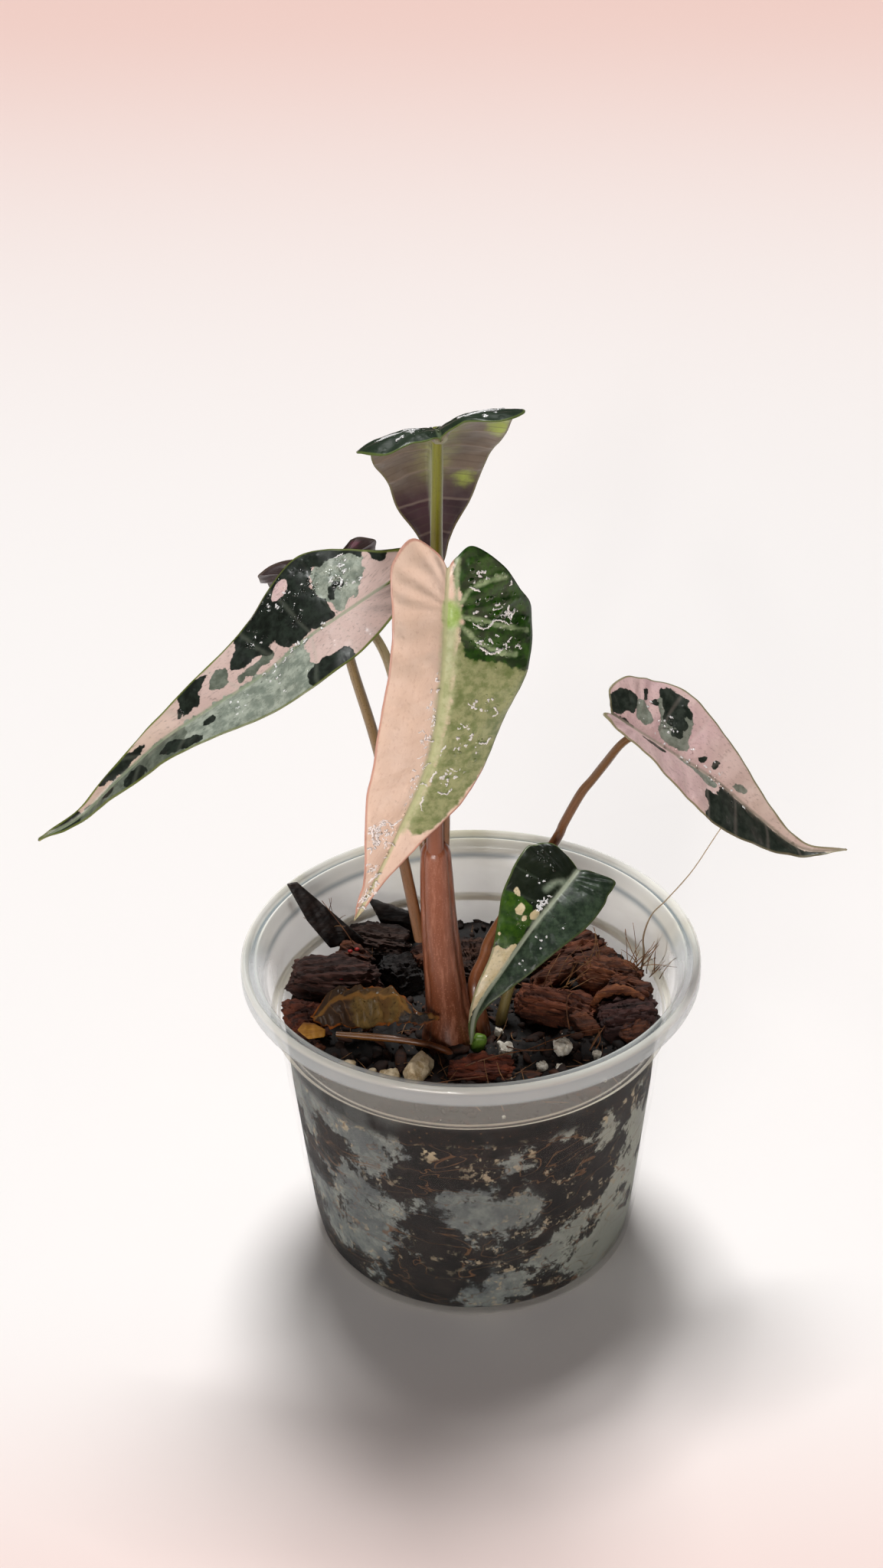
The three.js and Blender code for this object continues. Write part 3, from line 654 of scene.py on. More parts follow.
LEAVES = {
    "blade_front": {
        "mid": [[-5, -27, 192], [-6, -30, 177.5], [-8, -30, 163], [-11, -29, 151.5], [-16.5, -28, 138],
                [-22, -26, 124.5], [-28, -23, 110]],
        "face": [[0.4, -0.85, 0.45], [0.4, -0.95, 0.1], [0.3, -0.95, 0]],
        "left": half_of([1, 2.4, 6, 11.2, 15, 17.7, 20.7, 21.7], 15, [17.7, 13, 5.5]),
        "right": half_of([1.8, 3.6, 8, 13, 14.6, 14.2, 13.4, 13.2], 17, [13.7, 13.3, 9]),
        "notch": 10, "fold": 0.2, "curl": -0.15, "wave": 0.7,
    },
    "blade_left": {
        "mid": [[-29, -10, 184], [-36.5, -12, 179.5], [-47.5, -14, 171], [-59.5, -16, 164],
                [-71.5, -17, 156], [-83, -19, 146], [-91, -20, 138.5], [-101.5, -20, 132.5]],
        "face": [[-0.35, -0.42, 0.84], [-0.35, -0.42, 0.84], [-0.35, -0.5, 0.8]],
        "left": half_of([1.4, 2.8, 5.8, 8.8, 10.8, 13.8, 16, 14.5], 20, [12.2, 10, 5.5]),
        "right": half_of([1.3, 2.2, 3.8, 6.6, 10, 14.3, 18.5, 21], 23, [16.4, 8.8, 3.4]),
        "notch": 13, "fold": 0.22, "curl": -0.1, "wave": 0.6,
    },
    "blade_right": {
        "mid": [[41.5, 6, 144.5], [49, 6, 139], [60.5, 5, 131], [71, 4, 121.5], [83, 3, 112],
                [94.5, 3, 111.5]],
        "face": [[0.1, -0.3, 0.95], [0.1, -0.45, 0.9], [0.1, -0.6, 0.8]],
        "left": half_of([0.8, 1.8, 3.3, 6.8, 10.6, 14.8, 18.3, 17.3], 11, [15, 12.5, 6.5]),
        "right": half_of([1, 3, 7.5, 12, 13.5, 12.3, 10.2, 7.8], 11, [6.8, 5.4, 3]),
        "notch": 8, "fold": 0.28, "curl": -0.1, "wave": 0.5,
    },
    "blade_low": {
        "mid": [[25, 0, 105.5], [20.5, -5, 102.5], [16, -9, 99], [8, -15, 90], [1, -19, 80],
                [-0.5, -20.5, 70.5]],
        "face": [[0, -0.7, 0.7], [0, -0.7, 0.7], [0, -0.7, 0.7]],
        "left": half_of([0.7, 1.3, 3.2, 6, 8, 9.7, 10.8, 10.7], 7, [10, 9.9, 8.8]),
        "right": half_of([0.8, 1.5, 3.2, 4.8, 8, 11.5, 13.4, 13.8], 5.2, [12.6, 11.4, 8.6]),
        "notch": 3.8, "fold": 0.15, "curl": -0.1, "wave": 0.4,
    },
    "blade_top": {
        "mid": [[-6, -2.5, 225], [-6, 9, 219.4], [-7, 19, 210], [-7, 27, 194.4], [-6, 30.7, 176]],
        "face": [[-0.2, 0.28, 0.93], [-0.15, 0.7, 0.6], [-0.1, 0.92, 0.22]],
        "left": half_of([2.3, 4.6, 9, 11, 14.5, 15.5, 16.3, 17.3], 15, [18, 17.8, 12.5], 0.16),
        "right": half_of([1.8, 4, 9, 12, 14.2, 16.2, 17.5, 18.5], 13, [19, 18.8, 13.5], 0.22),
        "notch": 10, "fold": 0.13, "curl": -0.15, "wave": 0.6, "droop": 4.6,
    },
    "blade_back": {
        "mid": [[-33.4, 20, 182.4], [-35.4, 28, 178.4], [-38.4, 35, 172], [-41.4, 40, 162],
                [-43.4, 42.5, 149]],
        "face": [[-0.2, 0.3, 0.91], [-0.25, 0.7, 0.6], [-0.3, 0.9, 0.25]],
        "left": half_of([1.5, 3, 6, 9, 11.5, 13, 14.5, 16], 10.5, [16.6, 16.8, 12], 0.22),
        "right": half_of([1.4, 3, 6, 8, 10, 11, 12, 12.8], 9.5, [12.6, 12.3, 7.5], 0.42),
        "notch": 7, "fold": 0.12, "curl": -0.05, "wave": 0.4, "droop": -1.5,
    },
}

# %% [markdown]
# ## From a grid to a leaf
# A flat grid is moved onto the surface above, with its ends closed to a point. Domed tissue, a
# groove over the midrib and a fine unevenness are added to the upper face. Solidify then gives
# the blade its thickness, which a vertex group makes thin at the edge and deep under the midrib
# and the side veins, where a real leaf has its ribs.

# %% Build one blade
BLADE_ROWS, BLADE_COLUMNS = 182, 60  # of the grid, along and across
KEEL = 2.0  # mm, depth of blade and rib together at the stalk
GROOVE, FINE_WAVE, BROAD_WAVE = 0.3, 0.16, 0.35  # mm of relief on the upper face
EDGE_DEPTH, TISSUE_DEPTH, VEIN_DEPTH, RIB_DEPTH = 0.12, 0.14, 0.16, 0.74  # shares of the keel


FINER, WEAKER = 1.9, 0.55  # pitch and height of each layer of waves against the one before
LAYER_WAVES = 5


def uneven(points, size, seed, layers=3):
    """Smooth noise from -1 to 1 at rows of points in mm, as a sum of slanted waves."""
    draw = np.random.default_rng(seed)
    total = np.zeros(len(points))
    weight = 0.0
    for layer in range(layers):
        for _ in range(LAYER_WAVES):
            way = unit(draw.normal(size=3)) * 2 * math.pi / size * FINER**layer * draw.uniform(0.7, 1.3)
            total += np.sin(points @ way + draw.uniform(0, 6.28)) * WEAKER**layer
        weight += 2.2 * WEAKER**layer
    return total / weight


def note_all(piece, marks, along, across, **more):
    """Stores a blade's places, its marks and some more numbers at each vertex."""
    values = {label: mark(along, across) for label, mark in marks.items()}
    for label, each in {"along": along, "across": across, **more, **values}.items():
        note(piece, label, each)


def make_blade(name, leaf, marks, faces, dome=0.3, rows=BLADE_ROWS, columns=BLADE_COLUMNS, keel=KEEL):
    """A closed thin blade with its marks stored as distances. Faces are its two finishes."""
    shape = Blade(leaf)
    grid = bpy.ops.mesh.primitive_grid_add
    piece = start(grid, name, x_subdivisions=columns, y_subdivisions=rows, size=2)
    flat = corners(piece) * MM
    out = np.abs(flat[:, 0])  # from midrib to edge
    hand = np.sign(np.round(flat[:, 0], 6))
    down = (1 - flat[:, 1]) / 2  # from tip to notch
    out = np.where((down < 1e-6) | (down > 1 - 1e-6), 0, out)
    left_edge, left_foot = shape.half(leaf["left"], down)
    right_edge, right_foot = shape.half(leaf["right"], down)
    is_left = (hand < 0)[:, None]
    edge = np.where(is_left, left_edge, right_edge)
    foot = np.where(hand < 0, left_foot, right_foot)
    along = foot + (edge[:, 0] - foot) * out
    across = hand * np.maximum(edge[:, 1], 0.05) * out

    row = down * VEIN_ROWS
    wave = 0.5 - 0.5 * np.cos(2 * math.pi * row)
    in_blade = np.clip(np.abs(across) / 3, 0, 1) * np.clip((1 - out) / 0.12, 0, 1)
    rib = np.exp(-((across / (0.5 + 0.9 * np.clip(1 - along / shape.length, 0, 1))) ** 2))
    place = np.stack([along, across, np.zeros(len(down))], 1)
    wave = wave * np.clip((np.hypot(along, across) - 1) / 9, 0, 1)
    rise = dome * wave * in_blade - GROOVE * rib
    rise += FINE_WAVE * uneven(place, 7, len(name)) * in_blade
    rise += BROAD_WAVE * uneven(place + 50, 16, len(name) + 4) * out
    points = shape.place(along, across) + shape.normal(along, across) * (rise + 0.3)[:, None]
    place_corners(piece, points)

    vein = np.exp(-(((row - np.round(row)) * 14) ** 2)) * np.clip(1.1 - out, 0, 1)
    edge_thin = np.clip((1 - out) * np.maximum(edge[:, 1], 0.5) / 1.2, 0, 1)
    depth = EDGE_DEPTH + TISSUE_DEPTH * edge_thin + VEIN_DEPTH * vein * edge_thin
    depth += RIB_DEPTH * rib * np.clip(1.05 - along / shape.length, 0.1, 1) * edge_thin
    group = piece.vertex_groups.new(name="depth")
    for i, value in enumerate(np.clip(depth, 0, 1)):
        group.add([i], float(value), "REPLACE")

    from_edge = (1 - out) * np.maximum(edge[:, 1], 0.3)
    note_all(piece, marks, along, across, row=row, edge=from_edge, wet=0 * along)

    edit(piece)
    bpy.ops.mesh.remove_doubles(threshold=0.00002)
    done()
    for made in faces:
        piece.data.materials.append(made)
    solid = piece.modifiers.new("thickness", "SOLIDIFY")
    solid.thickness = keel * MM
    solid.offset = -1
    solid.vertex_group = "depth"
    solid.material_offset = 1
    solid.material_offset_rim = 0
    apply_all(piece)
    smooth(piece)
    return piece


def patches(*outlines):
    """A mark that is the area of some outlines."""
    return lambda along, across: depth_inside(outlines, along, across)


def strokes(width, *lines):
    """A mark that is a band round some lines, half as wide as the given width."""

    def mark(along, across):
        return np.max([width / 2 - near_line(line, along, across) for line in lines], axis=0)

    return mark


# %% [markdown]
# ## Water on a leaf
# These leaves were sprayed, so drops stand on them, and rims of water lie where a film dried back.
# A drop is a low dome and a rim is a thin tube, both set on the blade's surface. They take the
# blade's own finish, because clear water shows the colour below it, and get more gloss. Rims and
# the finest drops also get a painted highlight: their colour is turned most of the way to white.

# %% Many small shapes in one mesh


def merged(name, shapes):
    """One mesh from many (points, faces) pairs in mm, so that a scatter is a single piece."""
    points = np.concatenate([shape[0] for shape in shapes])
    faces, first = [], 0
    for own, loops in shapes:
        faces += [[first + k for k in loop] for loop in loops]
        first += len(own)
    mesh = bpy.data.meshes.new(name)
    mesh.from_pydata((points * MM).tolist(), [], faces)
    piece = bpy.data.objects.new(name, mesh)
    bpy.context.scene.collection.objects.link(piece)
    smooth(piece)
    return piece


def small_ball():
    """The points and the faces of a ball of radius 1 mm, to be stretched and repeated."""
    piece = start(bpy.ops.mesh.primitive_ico_sphere_add, "pattern", subdivisions=2, radius=1)
    points = corners(piece) * MM
    faces = [list(face.vertices) for face in piece.data.polygons]
    bpy.data.objects.remove(piece)
    return points, faces


TUBE_SIDES = 6


def tube_shape(line, radii, sides=TUBE_SIDES):
    """A thin tube along rows of points, closed by its narrow ends."""
    count = len(line)
    ways = unit(np.gradient(line, axis=0))
    side = unit(np.cross(ways[0], [0.3, 0.5, 0.8]))
    turns = np.linspace(0, 2 * math.pi, sides, endpoint=False)
    rows = []
    for point, way, r in zip(line, ways, radii):
        side = unit(side - way * (side @ way))
        up = np.cross(way, side)
        rows.append(point + r * (np.cos(turns)[:, None] * side + np.sin(turns)[:, None] * up))
    faces = []
    for i in range(count - 1):
        for j in range(sides):
            k = (j + 1) % sides
            faces.append([i * sides + j, i * sides + k, (i + 1) * sides + k, (i + 1) * sides + j])
    faces.append(list(range(sides))[::-1])
    faces.append([(count - 1) * sides + j for j in range(sides)])
    return np.concatenate(rows), faces


def tries(draw, outline, count, margin):
    """Random places at least a margin inside an outline, as many as a count or fewer."""
    ring = rounded(outline)
    trial = draw.uniform(ring.min(0), ring.max(0), (count * 6, 2))
    return trial[depth_inside([outline], trial[:, 0], trial[:, 1]) > margin][:count]


def glints(count, outline, length, width, seed):
    """Short crooked lines of water, as (width, line) pairs, that are drawn as rims with a painted white
    highlight.
    """
    draw = np.random.default_rng(seed)
    lines = []
    for at in tries(draw, outline, count, 0.4):
        steps = draw.normal(size=(4, 2)) * length * draw.uniform(0.3, 1) / 3
        lines.append((width * draw.uniform(0.6, 1.2), at + np.cumsum(steps, axis=0)))
    return lines


DROP_SCALE, DROP_LIFT, DROP_FLAT = 1.35, 0.25, 0.6  # size, mm over the blade, share of height
RIM_SCALE, RIM_LIFT, RIM_SHAKE = 1.3, 0.32, 0.12  # size, mm over the blade, mm of unevenness
# With the second value, a drop or rim is turned most of the way to white: a painted highlight.
CLEAR, PAINTED_HIGHLIGHT = 1, 2  # what the wet number says to the finish


def make_water(name, leaf, marks, face, drops, rims, seed):
    """Drops are (count, outline, least and largest radius), with a last value for drops that get a painted
    white highlight. Rims are (width, line), and every rim gets that painted highlight.
    """
    shape = Blade(leaf)
    draw = np.random.default_rng(seed)
    dome, loops = small_ball()
    shapes, centres = [], []
    for count, outline, small, large, *look in drops:
        trial = tries(draw, outline, count, 0.3)
        for along, across in trial[shape.inside(trial[:, 0], trial[:, 1], 0.9)]:
            size = DROP_SCALE * (small + (large - small) * draw.uniform() ** 3)
            at, out = np.array([along]), np.array([across])
            middle, up = shape.place(at, out)[0], shape.normal(at, out)[0]
            side = unit(np.cross(up, draw.normal(size=3)))
            frame_of = np.stack([side, np.cross(up, side), up * DROP_FLAT])
            stretch = size * draw.uniform([0.8, 0.8, 0.8], [1.3, 1.3, 1.1])
            shapes.append((middle + up * DROP_LIFT + (dome * stretch) @ frame_of, loops))
            centres.append((along, across, len(dome), look[0] if look else CLEAR))
    for width, line in rims:
        path = curve(line, np.linspace(0, 1, 10 * len(line)))
        path += RIM_SHAKE * draw.normal(size=path.shape)
        along, across = path.T
        if not shape.inside(along[::9], across[::9], 0.5).all():
            continue
        on = shape.place(along, across) + shape.normal(along, across) * RIM_LIFT
        radii = RIM_SCALE * width * (0.55 + 0.45 * np.sin(np.linspace(0, 9, len(path))) ** 2)
        radii[0] = radii[-1] = 0.03
        shapes.append(tube_shape(on, radii))
        # Every rim gets the painted white highlight.
        centres += [(a, c, TUBE_SIDES, PAINTED_HIGHLIGHT) for a, c in path]
    piece = merged(name, shapes)
    along, across, water_and_highlight = (
        np.concatenate([[centre[k]] * centre[2] for centre in centres]) for k in (0, 1, 3)
    )
    note_all(piece, marks, along, across, row=0 * along + 0.5, edge=0 * along + 5, wet=water_and_highlight)
    piece.data.materials.append(face)
    return piece

# %% [markdown]
# ## Where the colours lie
# A variegated leaf is a patchwork: patches of silver, near-black green, grey and pink meet at torn
# edges. Each patch is a simple outline in the blade's own lengths, along and across the midrib.
# The mesh stores how deep each vertex lies inside a patch, and the finish tears that edge.

# %% Patches of the left leaf
LEFT_MARKS = {
    "silver": patches(
        [(0.3, 15.5), (-3, 17), (-8, 16.5), (-12.5, 12.5), (-10.6, 6.4), (-7.3, 3), (-3, 1.5), (0, 1),
         (0.3, 3), (0.5, 5.5), (1.8, 7.5), (1.5, 11.5)],
        [(6, 0.3), (12, 0.5), (20, 0.5), (30, 0.5), (37, 0.3), (47, 0.2), (47, -4), (46, -11), (36, -15),
         (24, -18), (9.5, -19), (10.5, -12), (9.4, -10.4), (10.6, -8), (9.8, -5), (10.4, -2.4)],
    ),
    "grey": patches(
        [(29, 8), (28.8, 6), (30.5, 2.4), (34.2, 3.4), (35, 4.8), (33, 8)],
        [(16.5, 1.8), (19.8, 1.4), (25.6, 1.6), (28, 1.4), (27.5, 4), (23.8, 3), (20, 4.5), (17, 3.5)],
        [(44, 0.4), (60, 0.4), (75, 0.4), (92, 1), (92, -7), (70, -9), (58, -12), (50, -13), (45, -12),
         (43.5, -4)],
    ),
    "dark": patches(
        [(0.5, 15), (-5, 17.6), (-10, 18.5), (-12, 22), (0, 27), (8, 26), (16, 22), (22, 18.5),
         (24.1, 14.2), (24.5, 11.9), (26.4, 8.6), (28.5, 6.5), (28, 5.4), (25, 4), (22.5, 5),
         (19.5, 4.5), (17, 2.2), (18, 5.5), (15.5, 5.2), (14, 1.8), (11.8, 0.5), (8.5, 0.6), (4, 0.6),
         (0.8, 0.8), (0, 2.2), (0.5, 5.3), (1.8, 7.5), (1.5, 11.5)],
        [(0, 14.5), (-6, 15), (-10, 13.4), (-14, 10.4), (-18, 7.8), (-20, 5.4), (-25, 8), (-16, 15),
         (-8, 21), (0, 22)],
        [(-2.8, 9.2), (-5.2, 8), (-4.8, 5.8), (-2.7, 7), (-0.9, 3.4), (-0.4, 5), (-1.6, 8)],
        [(-14.1, 13), (-17.3, 11), (-19, 8), (-15.4, 5.5), (-14.3, 6.7), (-13, 9.8)],
        [(-11, 12.8), (-12, 12.4), (-12, 10.2), (-10.8, 10.6)],
        [(32.4, 8.5), (36.4, 8.3), (39.5, 9.8), (43, 7.5), (42.9, 5.5), (45.4, 1.5), (43.2, 2.2),
         (39.8, 1.8), (37.4, 3), (37.9, 5.2), (34.9, 6.7), (33, 8)],
        [(0.5, -11.6), (4, -10.8), (7.5, -10.2), (10.4, -10), (12.5, -11.6), (12.6, -17), (6.8, -18),
         (1.5, -16)],
        [(35.8, -4), (37, -2.8), (39.4, -3.2), (38.8, -5), (37, -6)],
        [(38.8, -8), (43.5, -4.8), (46.3, -4), (50, -2.6), (52.5, -4), (50, -6), (45.7, -8.4), (41, -9.8)],
        [(56, -4), (58, -2), (63, -2.2), (64, -4), (60, -6.5), (56, -6)],
        [(66, -1.2), (70, -1), (70, -2.4), (67, -2.8)],
        [(53.7, 2), (56.8, 3.2), (61.6, 3.6), (67.4, 3.4), (70.2, 2), (66, 0.9), (60, 0.5), (55.5, 0.6)],
        [(77, 3), (77, -3), (92, -3), (92, 3)],
    ),
    "blush": patches([(5.3, 17.8), (6.4, 14.5), (9, 13.5), (11.3, 14.3), (11, 16), (8.2, 18)]),
}

# %% Patches of the front leaf
FRONT_MARKS = {
    "olive": patches(
        [(5, -3), (10, -2.8), (20, -2.4), (30, -2), (40, -1.6), (50, -1.4), (56.5, -2), (55, -6),
         (50, -8.6), (45, -10.4), (38, -13), (33, -16), (20, -22), (5, -26)],
    ),
    "midrib": patches([(-3, -3), (10, -2.9), (30, -2.1), (56, -1.6), (57, 0.6), (20, 1), (-3, 0.6)]),
    "dark": patches(
        [(-14, -1.5), (-18, -4), (-18, -12), (-10, -19), (0, -24), (8, -26), (13, -22), (12.5, -17),
         (11, -14), (10.8, -9.5), (10, -5.5), (6.8, -5), (4.5, -3), (0, -3.5), (-5, -3), (-10, -1.2)],
    ),
    "silver": strokes(
        0.9, [(0.5, -2.5), (1.8, -9), (3.4, -15), (4.5, -20)],
        [(0, -2.5), (-4.5, -4.5), (-7.3, -9.5), (-8, -14)], [(2, -3), (6, -7.5), (8.5, -12), (9.5, -17)],
        [(0, -2.4), (-5, -2.2), (-12, -2)],
    ),
    "blush": patches([(-2, 1.2), (2.5, 0.4), (3.5, -1.8), (1, -3.6), (-2.4, -2.6), (-3, -0.4)]),
}

# %% Patches of the right, the low and the two rear leaves
RIGHT_MARKS = {
    "grey": patches(
        [(2, -12), (4.6, -15.6), (9.4, -15.4), (12.4, -11), (13.4, -7), (13, -4.6), (14, -2.8),
         (13.5, -1.9), (10.1, -1), (7.7, -1), (4.6, -2.7), (5, -6.4), (3.4, -9)],
        [(-3.2, -7.6), (-1, -9), (1.4, -7), (3, -4), (1, -2.4), (-2, -3)],
        [(27.5, -1), (29, -3.2), (31, -4), (32.6, -3.4), (32.4, -1.8), (30.5, -1.6), (29, -1)],
        [(11, 0.2), (16, 0.4), (20, 0.6), (24, 0.4), (24.5, 3), (21, 3.5), (18.5, 3), (14, 1.2)],
    ),
    "dark": patches(
        [(-10, -6), (-8, -8), (-6, -9), (-4, -8.5), (-3, -6.8), (-2.5, -4), (-4, -3.2), (-5.9, -1.5),
         (-8.2, -0.8), (-10.5, -2.5)],
        [(-1.8, -13.5), (-0.6, -13.5), (-0.1, -12), (-0.5, -9.5), (-1.2, -8.8), (-2, -11)],
        [(1.2, -10.3), (2.1, -11.5), (3, -10.3), (2.1, -9.1)],
        [(2.9, -15.6), (5.3, -16.8), (8.2, -16.4), (10.2, -15), (10, -13.8), (11.6, -13), (12, -10.6),
         (10.4, -11.2), (10.2, -9.8), (12.4, -8.8), (11, -6.6), (8, -6), (5, -7), (4.8, -9.6),
         (4, -11.6), (2, -13.2)],
        [(8.5, -6.5), (11, -6.3), (11.5, -4.5), (9, -3.5), (8, -4.5)],
        [(16, -2.4), (17.8, -3.2), (19.5, -4), (18.8, -2.6), (18.2, -1), (17.4, -2)],
        [(20.6, -2.6), (21, -4.8), (22.3, -4.6), (22.6, -2.8), (21.6, -1.9)],
        [(0.5, 1), (3, 1.2), (6, 1.6), (8.4, 1.4), (7.5, 2.6), (4.5, 2.8), (2, 2)],
        [(-10, -0.2), (-5, -0.6), (0, -0.6), (0, 0.4), (-10, 0.3)],
        [(24.5, 0.4), (24.4, 2.8), (24.8, 5.4), (21.8, 5.2), (21.3, 6.6), (23.5, 9.5), (22.5, 12),
         (24, 15), (40, 16), (58, 4), (60, 0.2), (50, 0), (40, 0.3), (30, 0.3)],
    ),
}
LOW_MARKS = {
    "bright": patches(
        [(12.2, 9.8), (10.9, 6.5), (11.4, 3.6), (13.7, 0.8), (17.9, 0.6), (20, 0.3), (24.3, 2.7),
         (24.1, 4.4), (22, 8), (19.4, 11), (15, 13), (12.5, 13)],
    ),
    "cream": patches(
        [(20, 0.2), (24.3, 2.7), (24.1, 4.4), (25.5, 5.5), (26, 9), (32, 7), (40, 3), (44, 1.5),
         (44, 0.4), (30, 0.2)],
        [(12.3, 6), (12.8, 4.6), (14.2, 4), (15.3, 5), (14.2, 6.2)],
        [(10.6, 9.6), (10.4, 8.2), (11.6, 7), (11.3, 4), (12, 7.4), (11.6, 9.4)],
        [(11, 0.4), (14, 0.4), (14, 1.8), (12.6, 2.6), (11.2, 1.8)],
        [(14.4, 2.9), (15, 2.3), (15.6, 2.9), (15, 3.5)],
        [(16.7, 3.4), (17.3, 2.8), (17.9, 3.4), (17.3, 4)],
        [(20.8, 5.8), (21.5, 5.1), (22.2, 5.8), (21.5, 6.5)],
    ),
    "silver": strokes(1.2, [(-3, 0), (6, 0), (15, 0)], [(1, 0.6), (3, 2.6), (6, 3.4)]),
    "grey": patches([(-8, -0.9), (0, -0.9), (20, -0.8), (50, -0.3), (50, -4), (20, -16), (-8, -16)]),
}
TOP_MARKS = {
    "rib_side": patches([(-6, -4), (12, -3.4), (34, -2), (34, 2), (14, 5), (4, 8), (-6, 14)]),
    "lime": patches(
        [(-2, 13), (4, 12), (10, 12.6), (10, 19), (4, 21), (-4, 20)],
        [(9, 13), (12, 11.6), (16, 12.6), (16, 17), (11, 18), (8, 16)],
        [(33, 6), (37, 6), (37, 9), (33, 9)],
    ),
    "deep": patches([(38, -16), (70, -8), (70, 8), (38, 16), (36, 5), (36, -5)]),
}
BACK_MARKS = {
    "lime": patches([(-9, 6), (-7, 5.4), (-6, 7.4), (-8, 9)]),
    "deep": patches([(-12, -17), (10, -17), (20, 0), (10, 14), (-12, 14)]),
}

# %% [markdown]
# ## The leaf's finish
# Each blade has one finish for its upper face and one for the face below. The base colour drifts
# from one tone to another along the leaf. The patches are laid over it one by one, then come fine
# flecks that follow the side veins, the vein lines themselves, the thin coloured edge, and the
# water that makes a freshly sprayed leaf shine, by real gloss and by a painted white highlight.

# %% Leaf finishes


SHARP = 0.12  # mm over which a patch's edge blurs


def patched(tone, here, patches_of, size, mottle):
    """Lays patches over a tone, each with two colours and an edge torn at a size."""
    for mark, first, second, tear, *soft in patches_of:
        blur = soft[0] if soft else SHARP
        mask = use(ragged, Distance=stored(mark), Vector=here, Tear=tear, Size=size, Blur=blur)[0]
        tone = blend(mask, tone, blend(mottle, colour(first), colour(second)))
    return tone


def leaf_finish(
    name, base, patches_of, veins, rim, drift=(10.0, 40.0), fleck=0.5, wet=0.0, mid=None,
    rough=0.4, shine=0.5,
):
    """The upper face of a blade.

    Base holds the tones at the notch, at the tip and of its clouds. Patches are (mark, colour,
    colour, tear), or with a blur as well. Veins are the colours of lines and flecks, and the
    strength of the lines below and above the patches. Rim is the edge's colour and strength.
    """
    made, shader = finish_of(name, Specular_IOR_Level=shine, Coat_Roughness=0.06, Coat_IOR=1.4)
    here = object_place()
    along, across, row, edge = (stored(label) for label in ("along", "across", "row", "edge"))
    tone = blend(between(along, *drift), colour(base[0]), colour(base[1]))
    tone = over(tone, base[2], between(noise(here, 130.0, 4.0, 0.6), 0.35, 0.7), 0.55)

    bend = times(minus(noise(here, 90.0), 0.5), 0.25)
    lines = use(vein_lines, Row=row, Width=0.09, Bend=bend)[0]
    lines = times(lines, between(along, -1.0, 5.0, 0.15, 1.0))
    tone = over(tone, veins[0], lines, veins[2])
    at_edge = fading(edge, 0.22, 0.6)
    tone = over(tone, rim[0], at_edge)

    mottle = between(noise(here, 420.0, 4.0, 0.65), 0.36, 0.68)
    tone = patched(tone, here, patches_of, 330.0, mottle)
    beside = node("CombineXYZ", {0: row, 1: across, 2: 0.0}).outputs[0]
    flecks = noise(stretched(beside, (3.0, 0.5, 1.0)), 2.6, 3.0, 0.7)
    tone = over(tone, veins[1], between(flecks, 0.52, 0.74), fleck, way="MULTIPLY")

    tone = over(tone, veins[0], lines, veins[3])
    tone = over(tone, mid or veins[0], fading(size_of(across), 0.25, 0.75), 0.75)
    tone = over(tone, rim[0], at_edge, rim[1])
    # Where the wet number marks it, the colour is turned most of the way to white: a painted highlight on
    # rims and fine drops.
    water_and_highlight = stored("wet")
    glint = between(water_and_highlight, CLEAR + 0.1, PAINTED_HIGHLIGHT - 0.1, 0.0, 0.8)
    feed(shader, Base_Color=blend(glint, tone, colour("#ffffff")))

    films = use(water, Vector=here, Beads=620.0, Film=170.0)
    skin = bump(noise(here, 2600.0, 2.0, 0.6), 0.25, 0.05)
    skin = bump(times(lines, -0.2), 0.5, 0.25, skin)
    skin = bump(noise(here, 320.0, 2.0, 0.5, 0.6), 0.12, 0.3, skin)
    skin = bump(films["Beads"], 0.35, 0.25, skin)
    feed(shader, Normal=bump(films["Film"], 0.12, 0.2, skin))
    drop = smaller(water_and_highlight, 1.0)
    coat = times_plus(films["Film"], wet * 0.5, 0.1)
    feed(shader, Coat_Weight=larger(coat, drop))
    dull = times_plus(films["Film"], -0.12 * wet, rough)
    feed(shader, Roughness=times_plus(drop, 0.1 - rough, dull))
    return made


def under_finish(name, base, patches_of, veins, rim):
    """The matt face below a blade. Veins are its lines and grain, and rim its edge and midrib."""
    made, shader = finish_of(name, Roughness=0.46, Coat_Weight=0.12, Coat_Roughness=0.2)
    here = object_place()
    across, row, edge = (stored(label) for label in ("across", "row", "edge"))
    cloud = between(noise(here, 95.0, 4.0, 0.6), 0.3, 0.7)
    tone = blend(cloud, colour(base[0]), colour(base[1]))
    tone = patched(tone, here, patches_of, 300.0, cloud)
    grain = use(vein_lines, Row=times(row, 4.0), Width=0.16, Bend=0.0)[0]
    tone = over(tone, veins[1], grain, 0.4)
    lines = use(vein_lines, Row=row, Width=0.07, Bend=0.0)[0]
    tone = over(tone, veins[0], lines, 0.4)
    tone = over(tone, rim[1], fading(size_of(across), 0.4, 1.5), 0.7)
    feed(shader, Base_Color=over(tone, rim[0], fading(edge, 0.2, 0.6)))
    skin = bump(noise(here, 1500.0, 3.0, 0.6), 0.3, 0.08)
    feed(shader, Normal=bump(lines, 0.5, 0.2, skin))
    return made


